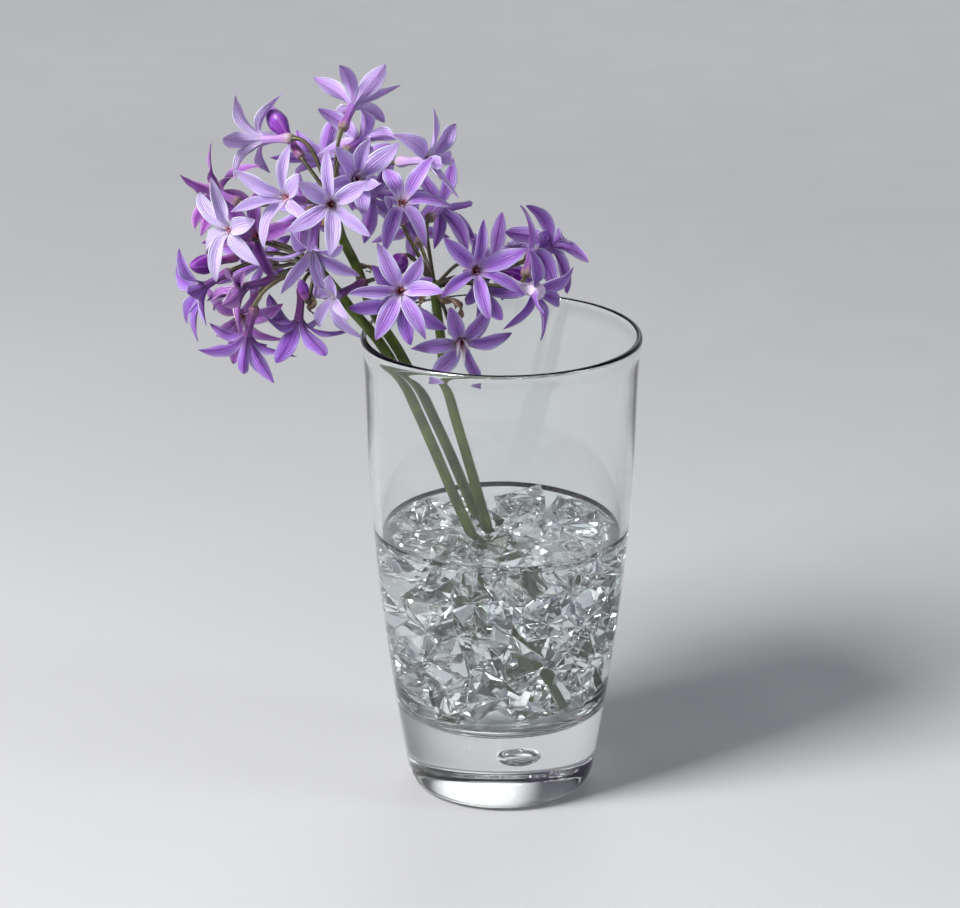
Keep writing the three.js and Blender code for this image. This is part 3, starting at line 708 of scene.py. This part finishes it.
def stem_finish(name, low, high, streak, streaks):
    """Stem skin with lengthwise streaks, fresher green under water."""
    finish = Finish(name, 0.42, 0.08)
    _, around, _, _ = finish.grain()
    colour = finish.ramp(finish.noise(140.0, 3.0), {0.35: low, 0.65: high})
    height = finish.node("ShaderNodeSeparateXYZ", {0: finish.place()}).outputs["Z"]
    wet = finish.level(finish.math("DIVIDE", height, 2 * WATER_LEVEL * MM), {0.4: 0.8, 0.5: 0.0})
    colour = finish.mix(wet, colour, "587600")
    wave = finish.waves(around, streaks)
    fine = finish.math("POWER", wave, 3.0)
    fine = finish.times(fine, finish.level(finish.noise(500.0), {0.3: 0.2, 0.7: 0.8}))
    finish.link(finish.mix(fine, colour, streak), "Base Color")
    finish.roughness(finish.noise(900.0), 0.36, 0.52)
    finish.bump(finish.math("ADD", wave, finish.noise(2200.0, 1.0)), 0.25, 0.0001)
    return finish.material


def bract_finish():
    """Dry, brown and papery, greener at the head."""
    finish = Finish("dry_bract", 0.25)
    along, across, _, _ = finish.grain()
    colour = finish.ramp(finish.noise(420.0, 3.0), {0.3: "6E5546", 0.5: "9C8472", 0.7: "CDBBA6"})
    veins = finish.waves(across, 9)
    colour = finish.mix(finish.times(veins, 0.35), colour, "543A2C")
    colour = finish.mix(finish.level(along, {0.0: 0.5, 0.3: 0.0}), colour, "6F6A3E")
    finish.link(colour, "Base Color")
    finish.roughness(finish.noise(700.0), 0.6, 0.8)
    finish.bump(veins, 0.4, 0.0002)
    return finish.material


def clear_finish(name, ior, cool, warm, scale, wave):
    """Clear stuff, tinged cool or warm from place to place, whose surface may wave a very little."""
    finish = Finish(name, Transmission_Weight=1.0, IOR=ior, Roughness=0.0)
    noise = finish.noise(scale, 3.0)
    finish.link(finish.ramp(noise, {0.35: cool, 0.65: warm}), "Base Color")
    if wave:
        finish.bump(noise, 0.5, wave)
    return finish.material


# Flowers, stems, glass and water
def petal_tips(name, throat):
    """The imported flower's petal tips: its corners that lie farther off than the tube's foot."""
    tips = []
    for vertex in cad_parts[name].data.vertices:
        spot = vertex.co / MM
        if (spot - throat).length > TUBE_LENGTH + 0.4 and all((spot - tip).length > 2 for tip in tips):
            tips.append(spot)
    return tips


# Half a petal's width along it, as (place, pointed, blunt)
PETAL_HALF = [
    (0, 0.33, 0.33), (0.12, 0.42, 0.42), (0.25, 0.68, 0.68), (0.4, 0.93, 0.95), (0.52, 1.0, 1.08),
    (0.64, 0.92, 1.1), (0.77, 0.67, 0.98), (0.88, 0.36, 0.72), (0.95, 0.16, 0.44), (1, 0.02, 0.06),
]
HALF_COLUMNS = (0.1, 0.21, 0.34, 0.46, 0.58, 0.7, 0.82, 0.92, 1)
COLUMNS = (*[-u for u in reversed(HALF_COLUMNS)], 0, *HALF_COLUMNS)
PETAL_ROWS = 28
# Where a petal leaves its tube: how far out, the inner and the outer ones, and how far down
ROOT_INNER, ROOT_OUTER, ROOT_DEPTH = 0.92, 1.02, 2.3
# A petal's lengthwise furrows on either side of its midline: how far out, and how deep
FURROWS = ((0.34, 0.2), (0.7, 0.12))
FURROW_WIDTH = 0.11


def add_petal(form, throat, facing, end, inner, blunt, tone, tube_tone, turn, draw):
    """A petal that leaves the tube's side, turns out over its mouth and runs to its tip."""
    halves = [(t, pointed + (full - pointed) * blunt) for t, pointed, full in PETAL_HALF]

    def play(reach):
        return reach * (2 * next(draw) - 1)

    outward = square_to(facing, end - throat)
    across = facing.cross(outward).normalized()
    start = throat + outward * (ROOT_INNER if inner else ROOT_OUTER) - facing * ROOT_DEPTH
    bend = start + outward * 1.25 + facing * (4.4 + play(0.5))
    crown = throat + outward * (0.4 * PETAL_LENGTH) + facing * (0.24 * PETAL_LENGTH)
    ease = end + (crown - end) * 0.62 + facing * play(1.5) + across * play(1.5)
    line = cubic(start, bend, ease, end, PETAL_ROWS - 1)
    width = PETAL_WIDTH / 2 * ((1.05 if inner else 0.95) + play(0.05))
    twist = math.radians(turn + play(24))
    fold = (1.0 + play(0.45)) * (1 - 0.45 * blunt)
    lean = play(0.1)
    ruffles = [(next(draw) * TAU, 1.0 + next(draw)) for _ in range(2)]
    axis = (end - start).normalized()
    folds = [(0, 0.72), (0.12, 0.66), (0.4, 0.66 * fold), (0.75, 0.46 * fold), (1, 0.25)]

    def across_at(t):
        return Quaternion(axis, twist * eased([(0.1, 0), (0.6, 1)], max(t, 0.1))) @ across

    def half_at(t):
        return width * threaded(halves, t)

    def place_at(t, u):
        angle = threaded(folds, t) * (1 + lean * (1 if u > 0 else -1))
        half = half_at(t) * (1 + lean * u)
        wave, pace = ruffles[u > 0]
        swing = math.sin(math.pi * min(1.0, 1.15 * t))
        rise = half * math.sin(angle) * (abs(u) ** 1.25 - 0.3 * u ** 4)
        rise += 0.42 * abs(u) ** 3 * math.sin(wave + pace * TAU * t) * swing
        for furrow, deep in FURROWS:
            rise -= deep * math.exp(-(((abs(u) - furrow) / FURROW_WIDTH) ** 2)) * swing
        return u * half * math.cos(angle), rise

    def thick_at(t, u):
        keel = 0.2 * math.exp(-((u / 0.15) ** 2)) * (1 - 0.6 * t) * min(1.0, 6 * t)
        return (0.28 - 0.19 * u * u) * (1 - 0.5 * t) + keel

    add_leaf(form, line, across_at, place_at, thick_at, COLUMNS, 0, tone + play(0.12), TUBE_SHARE * tube_tone)


# The tube from its foot over the mouth and down inside, each place as (radius, height), and what
# is seen there: 0 the outside, then from 0.2 at the mouth to 1 deep down
TUBE = [
    (0.5, 0.0), (1.0, 0.12), (1.42, 0.7), (1.6, 1.7), (1.5, 2.7), (1.22, 3.9), (1.12, 5.3), (1.12, 7.0),
    (1.18, 8.4), (1.26, 9.5), (1.31, 10.1), (1.24, 10.45), (1.05, 10.5), (0.86, 10.38), (0.66, 10.1),
    (0.48, 9.75), (0.3, 9.5), (0.1, 9.4),
]
TUBE_KINDS = [0.0] * 11 + [0.2, 0.4, 0.52, 0.66, 0.8, 0.92, 1.0]
# A maroon stub that stands a little askew in the throat, as (radius, height), and how deep it starts
STUB = [(0.3, 0.0), (0.36, 0.5), (0.3, 1.2), (0.34, 1.5), (0.22, 1.8), (0.04, 1.9)]
STUB_KINDS = [0.74, 0.7, 0.64, 0.6, 0.56, 0.5]
STUB_DEPTH = 2.35
# The blunt, pale mouth of one flower, its height reckoned from the throat
MOUTH = [
    (1.1, -5.0), (1.35, -3.9), (1.75, -2.6), (2.1, -1.2), (2.35, 0.0), (2.4, 0.8), (2.2, 1.5), (1.7, 1.9),
    (1.1, 1.95), (0.6, 1.7), (0.1, 1.5),
]


def add_tooth(form, throat, facing, outward, crown, tone, draw):
    """One fleshy tooth of the little crown that stands round the throat."""
    length, droop, width, open_out = crown
    across = facing.cross(outward)
    start = throat + outward * 0.78 - facing * (1.8 - open_out)
    rise = facing * (length * (0.75 + 0.5 * next(draw))) + outward * (0.6 * next(draw) - 0.2 + open_out)
    rows = 9
    places = [i / (rows - 1) for i in range(rows)]
    line = [start + rise * t + (outward * 0.35 - UP * droop) * t ** 3 for t in places]

    def place_at(t, u):
        half = width * (1 - t ** 2.2) + 0.05
        return u * half, 0.4 * half * u * u

    add_leaf(form, line, lambda t: across, place_at, lambda t, u: 0.36 - 0.18 * u * u - 0.14 * t,
             (-1, -0.8, -0.4, 0, 0.4, 0.8, 1), 2, tone)


def add_flower(name, finishes):
    throat_pixel, base_pixel, depth, away, tone = BLOOMS[name]
    throat, foot, facing = stance(throat_pixel, base_pixel, depth, TUBE_LENGTH, away)
    tips = petal_tips(f"bloom_{name}", throat)
    side = clear_of(facing)
    other = facing.cross(side)

    def angle_of(tip):
        return math.atan2((tip - throat).dot(other), (tip - throat).dot(side))

    tips.sort(key=angle_of)
    roll = angle_of(tips[0])
    draw = draws_from(SEED + sum(map(ord, name)) * 977)
    form = Form()
    tube_tone = TUBE_TONES.get(name, TUBE_TONE)
    turned = TURNED.get(name, 0)
    for k, tip in enumerate(tips):
        if (name, k) in CURLED:
            *place, depth = CURLED[name, k]
            tip = at_pixel(place, depth)
        turn = turned[k] if isinstance(turned, tuple) else turned
        inner = k % 2 == 0
        blunt = BLUNT.get(name, BLUNT_INNER if inner else BLUNT_OUTER)
        add_petal(form, throat, facing, tip, inner, blunt, tone, tube_tone, turn, draw)
    share = PALE_SHARE if name in PALE_THROATS else REDDER_SHARE if name in REDDER_THROATS else 1.0
    add_turned(form, TUBE, 30, foot, facing, 1, tube_tone, PETALS, lambda h: 0.04 if 1 < h < 11 else 0.0,
               roll, [kind * share for kind in TUBE_KINDS])
    pale = 1.0 if name in CROWNS else PALE_TOOTH if name in PALE_THROATS else 0.0
    for k in range(3):
        spin = roll + TAU * (k / 3 + 1 / 12)
        outward = side * math.cos(spin) + other * math.sin(spin)
        add_tooth(form, throat, facing, outward, CROWNS.get(name, PLAIN_CROWN), pale, draw)
    if name == HALF_OPEN:
        add_turned(form, MOUTH, 36, throat, facing, 1, MOUTH_TONE, PETALS, lambda h: 0.06, roll)
    elif name not in CROWNS:
        askew = side * (next(draw) - 0.5) + other * (next(draw) - 0.5)
        base = throat - facing * STUB_DEPTH + askew * 0.3
        add_turned(form, STUB, 12, base, (facing + askew * 0.45).normalized(), 1, 0.0, 3,
                   lambda h: 0.2 * h / 1.9, kinds=[kind * share for kind in STUB_KINDS])
    form.piece(f"flower_{name}", finishes, "petal", f"bloom_{name}")
    return foot, facing


def turned_bud(name, bud, outline, sides, folds, finish, *nodes):
    tip_pixel, base_pixel, depth, length, away, tone = bud
    _, foot, facing = stance(tip_pixel, base_pixel, depth, length, away)
    form = Form()
    add_turned(form, rounded(outline, sides), sides, foot, facing, 0, tone, 3, folds)
    form.piece(name, [finish], "bud", *nodes)
    return foot, facing


def add_bud(name, finish):
    length = BUDS[name][3]
    half = BUD_WIDTH / 2
    neck = min(length * 0.55, length - BUD_WIDTH * 1.3)
    head = length - neck
    outline = [
        (0.4, 0), (1.15, 0.35), (1.4, 1.5), (1.2, max(2.2, neck * 0.45)), (1.3, max(2.8, neck * 0.8)),
        (half * 0.76, neck + head * 0.06), (half, neck + head * 0.3), (half * 0.95, neck + head * 0.52),
        (half * 0.6, neck + head * 0.82), (0.1, length),
    ]

    def folds(height):
        return 0.075 * eased([(0, 0), (0.35, 0.1), (0.6, 1), (1, 0.9)], height / length)

    return turned_bud(f"closed_bud_{name}", BUDS[name], outline, 48, folds, finish, f"bud_{name}")


# The knob at a stem's head, as (radius, height), and how a flower's thin stem swells along it
KNOB = [(0.3, -2.3), (1.3, -2.1), (1.62, -1.2), (2.05, -0.2), (2.3, 0.6), (2.0, 1.5), (1.2, 2.1), (0.2, 2.25)]
PEDICEL_SWELL = [(0, 1.15), (0.25, 0.88), (0.85, 0.92), (1, 1.25)]


def along_sights(way):
    """The places of a way that is given as (across, down, depth)."""
    return [at_pixel(place, depth) for *place, depth in way]


def add_stalk(letter, ends, finishes):
    """A scape from its head down to the tumbler's floor, with the thin stems of its flowers."""
    draw = draws_from(SEED + ord(letter))
    way, in_glass = STEMS[letter]
    places = [*along_sights(way), *map(Vector, in_glass)]
    head = places[0]
    form = Form()
    half = SCAPE_WIDTH / 2
    radii = [half * (0.9 + 0.12 * eased([(0, 0), (1, 1)], i / SCAPE_STEPS)) for i in range(SCAPE_STEPS + 1)]
    add_rod(form, spline(places, SCAPE_STEPS), radii, 28, 0, 7, 0.02)
    up = (head - places[1]).normalized()
    add_turned(form, rounded(KNOB, 24), 30, head, up, 0, 0.0, 5, lambda h: 0.05)
    slim = PEDICEL_WIDTH / 2
    radii = [slim * eased(PEDICEL_SWELL, i / PEDICEL_STEPS) for i in range(PEDICEL_STEPS + 1)]
    for foot, facing in ends:
        reach = (foot - head).length
        leaving = ((foot - head).normalized() + UP * HEAD_RISE).normalized()
        end = foot + facing * 0.25
        curve = cubic(head, head + leaving * reach * 0.4, end - facing * reach * 0.35, end, PEDICEL_STEPS)
        add_rod(form, curve, radii, 12, 1, 4, 0.05)
    for owner, width, way in BRACTS:
        if owner == letter:
            add_bract(form, width, way, draw)
    form.piece(f"stalk_{letter}", finishes, "stem", f"stem_{letter}")


def add_bract(form, width, way, draw):
    """A dry, papery blade that goes out from the head, crumples and curls at its end."""
    line = spline(along_sights(way), 30)
    phase = next(draw) * TAU
    wobble = [next(draw) * TAU for _ in range(2)]

    def place_at(t, u):
        half = width / 2 * math.sin(math.pi * (0.14 + 0.82 * t)) ** 0.7
        half *= 1 + 0.22 * math.sin(wobble[u > 0] + 23 * t)
        return u * half, half * (0.6 * u * u + 0.34 * math.sin(phase + 21 * t + 3 * u))

    add_leaf(form, line, lambda t: Vector((0.35, -0.9, 0.3)), place_at, lambda t, u: 0.15,
             (-1, -0.7, -0.4, -0.1, 0.2, 0.5, 0.8, 1), 2)


WALL = rounded(INSIDE, 96)


def wall_radius(height):
    """The inside of the tumbler's wall at a height."""
    return next((r for r, h in WALL if h >= height), WALL[-1][0])


def add_tumbler(finish):
    outline = [*UNDERSIDE, *OUTSIDE, *LIP, *reversed(INSIDE), *reversed(FLOOR)]
    profile = [(max(r, 0.05), h) for r, h in rounded(outline, 4 * (len(outline) - 1))]
    form = Form()
    add_turned(form, profile, 256, Vector(), UP)
    angles = [math.radians(-88 + 176 * i / 24) for i in range(25)]
    bubble = [(math.cos(a) * BUBBLE["across"], math.sin(a) * BUBBLE["up"]) for a in angles]
    add_turned(form, bubble, 48, Vector(BUBBLE["middle"]), UP, hollow=True)
    form.piece("glass_tumbler", [finish], "glass", "tumbler")


def add_water(finish):
    """Water that wets the glass: it reaches a hair into the wall and creeps up it."""
    wet = 0.12
    wall = [(r + wet, h) for r, h in rounded(INSIDE, 64) if h < WATER_LEVEL - 1]
    edge = wall_radius(WATER_LEVEL)
    floor = [(0.05, GLASS_FLOOR - wet), *[(r + wet, h - wet) for r, h in FLOOR[1:]]]
    top = [
        (edge + wet, WATER_LEVEL + 1.1), (edge - 0.12, WATER_LEVEL + 0.8), (edge - 0.45, WATER_LEVEL + 0.42),
        (edge - 1.0, WATER_LEVEL + 0.16), (edge - 2.2, WATER_LEVEL + 0.03),
    ]
    calm = [(edge * k / 12, WATER_LEVEL) for k in range(11, 0, -1)]
    form = Form()
    add_turned(form, [*floor, *wall, *top, *calm, (0.05, WATER_LEVEL)], 144, Vector(), UP)
    form.piece("clear_water", [finish], "water", "water")


def polar(radius, angle, height):
    return Vector((radius * math.cos(angle), radius * math.sin(angle), height))


def crystal_places(draw):
    """The middles of the chunks: layers of two rings each, a little out of order."""
    places = []
    lowest = GLASS_FLOOR + CRYSTAL_WIDTH * HEAP["lowest"]
    highest = WATER_LEVEL - CRYSTAL_WIDTH * HEAP["highest"]
    for layer in range(CRYSTAL_LAYERS):
        height = lowest + (highest - lowest) * layer / (CRYSTAL_LAYERS - 1)
        outer = wall_radius(height) - CRYSTAL_WIDTH * HEAP["wall"]
        for reach in (outer, outer - CRYSTAL_WIDTH * HEAP["ring"]):
            count = max(2, int(TAU * reach / (CRYSTAL_WIDTH * HEAP["step"])))
            start = next(draw) * TAU
            for k in range(count):
                angle = start + (k + HEAP["play"] * (next(draw) - 0.5)) / count * TAU
                lift = (next(draw) - 0.5) * CRYSTAL_WIDTH * HEAP["play"]
                places.append(polar(reach, angle, height + lift))
    return places


def crystal_corners(middle, draw):
    """Corners spread evenly round a chunk's middle, then leant and shifted."""
    golden = math.pi * (3 - math.sqrt(5))
    turn = next(draw) * TAU
    lean = Euler((next(draw) * math.pi, next(draw) * math.pi, 0), "XYZ")
    corners = []
    for k in range(CRYSTAL_CORNERS):
        height = 1 - (2 * k + 1) / CRYSTAL_CORNERS
        angle = turn + k * golden + (next(draw) - 0.5) * 0.5
        corner = polar(math.sqrt(1 - height * height), angle, height)
        corner.rotate(lean)
        corners.append(middle + corner * (CRYSTAL_WIDTH / 2 * (0.9 + 0.12 * next(draw))))
    return corners


def kept_in(spot):
    """A place drawn in to stay just clear of the glass."""
    height = max(spot.z, GLASS_FLOOR + FLOOR_GAP)
    wall_foot = INSIDE[0][1]
    room = wall_radius(max(height, wall_foot)) - WALL_GAP
    if height < wall_foot:
        room = eased([(GLASS_FLOOR, FLOOR_ROOM), (wall_foot, room)], height)
    flat = spot.xy
    if flat.length > room:
        flat = flat.normalized() * room
    return Vector((*flat, height))


def add_chunk(form, corners, edge):
    """A sharp chunk over corners clear of the glass, each edge and corner cut off a hair's breadth."""
    hull = bmesh.new()
    for corner in corners:
        hull.verts.new(kept_in(corner))
    bmesh.ops.convex_hull(hull, input=hull.verts)
    cut = bmesh.new()
    for face in hull.faces:
        middle = face.calc_center_median()
        for vert in face.verts:
            inward = middle - vert.co
            cut.verts.new(vert.co + inward.normalized() * min(edge, 0.3 * inward.length))
    hull.free()
    bmesh.ops.convex_hull(cut, input=cut.verts)
    loose = [vert for vert in cut.verts if not vert.link_faces]
    bmesh.ops.delete(cut, geom=loose, context="VERTS")
    cut.verts.index_update()
    spots = [vert.co.copy() for vert in cut.verts]
    faces = [tuple(vert.index for vert in face.verts) for face in cut.faces]
    cut.free()
    form.add(spots, faces, [(0.0, 0.0, 0.0, 0.0)] * len(spots))


def loose_corner(middle, width, play, draw):
    """A corner anywhere round a chunk's middle, all ways being equally likely."""
    height = 2 * next(draw) - 1
    way = polar(math.sqrt(1 - height * height), next(draw) * TAU, height)
    return middle + way * (width / 2 * (0.8 + play * next(draw)))


def add_crystals(finish):
    """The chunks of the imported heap, each with one corner more, and chips in the gaps between them."""
    draw = draws_from(SEED)
    extra = draws_from(SEED + 1)
    form = Form()
    middles = crystal_places(draw)
    for middle in middles:
        corners = [*crystal_corners(middle, draw), loose_corner(middle, CRYSTAL_WIDTH, 0.12, extra)]
        add_chunk(form, corners, CRYSTAL_EDGE)
    chips = []
    for _ in range(CHIP_TRIES):
        height = GLASS_FLOOR + 3 + (WATER_LEVEL - GLASS_FLOOR - 4) * next(extra)
        turn = next(extra) * TAU
        spot = polar((wall_radius(height) - 4) * math.sqrt(next(extra)), turn, height)
        clear = all((spot - middle).length > 0.45 * CRYSTAL_WIDTH for middle in middles)
        if clear and all((spot - chip).length > CHIP_WIDTH for chip in chips):
            chips.append(spot)
            corners = [loose_corner(spot, CHIP_WIDTH, 0.5, extra) for _ in range(CHIP_CORNERS)]
            add_chunk(form, corners, CHIP_EDGE)
    form.piece("clear_chunks", [finish], "crystal", "crystals", smooth=False)


# The object
petal, rosy_petal = petal_finish("lilac_petal", 0.0), petal_finish("rosy_petal", 0.85)
tube, tooth, bud = tube_finish(), tooth_finish(), bud_finish()
scape = stem_finish("green_stem", "38460C", "566A1C", "8A9C3A", 14)
pedicel = stem_finish("flower_stem", "3A3422", "554F36", "948E72", 4)
bract = bract_finish()
ends = {letter: [] for letter in STEMS}
for flower in BLOOMS:
    ends[flower[0]].append(add_flower(flower, [rosy_petal if flower in ROSY else petal, tube, tooth]))
for closed in BUDS:
    ends[closed[0]].append(add_bud(closed, bud))
ends["a"].append(turned_bud("small_bud", SMALL_BUD, SMALL_BUD_OUTLINE, 30, lambda h: 0.05, bud))
for letter in STEMS:
    add_stalk(letter, ends[letter], [scape, pedicel, bract])
add_tumbler(clear_finish("clear_glass", 1.5, "FBFEFD", "FCFDFD", 22.0, 0.00005))
add_water(clear_finish("still_water", 1.333, "FAFDFF", "FDFEFE", 60.0, 0.00008))
add_crystals(clear_finish("clear_crystal", 1.36, "FAFDFF", "FFFDFA", 160.0, 0.0))

# Floor, light and camera, in metres
scene = bpy.context.scene
FLOOR_REACH = 6.0
FLOOR_HEIGHT = -0.0001
FLOOR_CORNERS = [(-1, -1), (1, -1), (1, 1), (-1, 1)]
floor_mesh = bpy.data.meshes.new("floor")
floor_mesh.from_pydata(
    [(x * FLOOR_REACH, y * FLOOR_REACH, FLOOR_HEIGHT) for x, y in FLOOR_CORNERS], [], [(0, 1, 2, 3)],
)
ground = Finish("pale_floor", 0.3, Emission_Color=(0.95, 0.97, 1.0, 1.0))
ground.link(ground.ramp(ground.noise(3.0, 3.0), {0.3: "C6C7CB", 0.7: "CBCCD0"}), "Base Color")
ground.roughness(ground.noise(30.0, 3.0), 0.5, 0.6)
# far off, where the lamps don't reach, the floor stays pale of itself
far = ground.node("ShaderNodeVectorMath", {0: ground.place()}, operation="LENGTH").outputs["Value"]
glow = ground.level(ground.math("DIVIDE", far, FLOOR_REACH), {0.05: 0.0, 0.2: 0.6, 0.5: 1.0})
ground.link(ground.times(glow, 0.3), "Emission Strength")
floor_mesh.materials.append(ground.material)
floor = placed("floor", floor_mesh)

# Each lamp: its place, width and height, watts and colour. Both aim at the middle of the bunch.
MIDDLE = Vector((-0.02, 0.0, 0.12))
LAMPS = {
    "key": ((-0.8, -0.55, 1.05), (0.45, 0.6), 27.5, (1.0, 0.99, 0.965)),
    "side": ((0.95, -0.35, 0.55), (0.25, 0.8), 2.8, (0.94, 0.97, 1.0)),
}
for name, (place, size, power, colour) in LAMPS.items():
    light = bpy.data.lights.new(name, "AREA")
    light.shape = "RECTANGLE"
    light.size, light.size_y = size
    light.energy = power
    light.color = colour
    lamp = placed(name, light)
    lamp.location = place
    lamp.rotation_euler = (MIDDLE - Vector(place)).to_track_quat("-Z", "Y").to_euler()

# A dim room, lighter towards the horizon, with a soft glow high behind
GLOW_WAY = Vector((0.25, 1.1, 0.75)).normalized()
GLOW_EDGE = 0.86
world = bpy.data.worlds.new("studio")
world.use_nodes = True
scene.world = world
room = Nodes(world.node_tree)
way = room.node("ShaderNodeTexCoord").outputs["Generated"]
height = room.node("ShaderNodeSeparateXYZ", {0: way}).outputs["Z"]
fade = room.ramp(height, {0.0: (0.28, 0.29, 0.31, 1.0), 0.55: (0.04, 0.044, 0.052, 1.0)}, smooth=False)
aim = room.node("ShaderNodeVectorMath", {0: way, 1: GLOW_WAY}, operation="DOT_PRODUCT").outputs["Value"]
edges = {"Value": aim, "From Min": GLOW_EDGE}
spread = room.node("ShaderNodeMapRange", edges, interpolation_type="SMOOTHSTEP").outputs["Result"]
sky = room.mix(spread, fade, (1.3, 1.32, 1.36, 1.0))
room.tree.links.new(sky, room.tree.nodes["Background"].inputs["Color"])

lens = bpy.data.cameras.new("camera")
lens.sensor_fit = "HORIZONTAL"
lens.sensor_width = 36.0
lens.lens = lens.sensor_width * EYE_FOCAL / PICTURE[0]
lens.clip_start = 0.01
lens.clip_end = 50.0
camera = placed("camera", lens)
camera.location = EYE * MM
camera.rotation_euler = (math.pi / 2 - EYE_PITCH, 0, 0)

scene.camera = camera
scene.view_settings.view_transform = "Standard"
scene.cycles.max_bounces = 24
scene.cycles.transmission_bounces = 24
scene.cycles.glossy_bounces = 6
scene.cycles.diffuse_bounces = 3
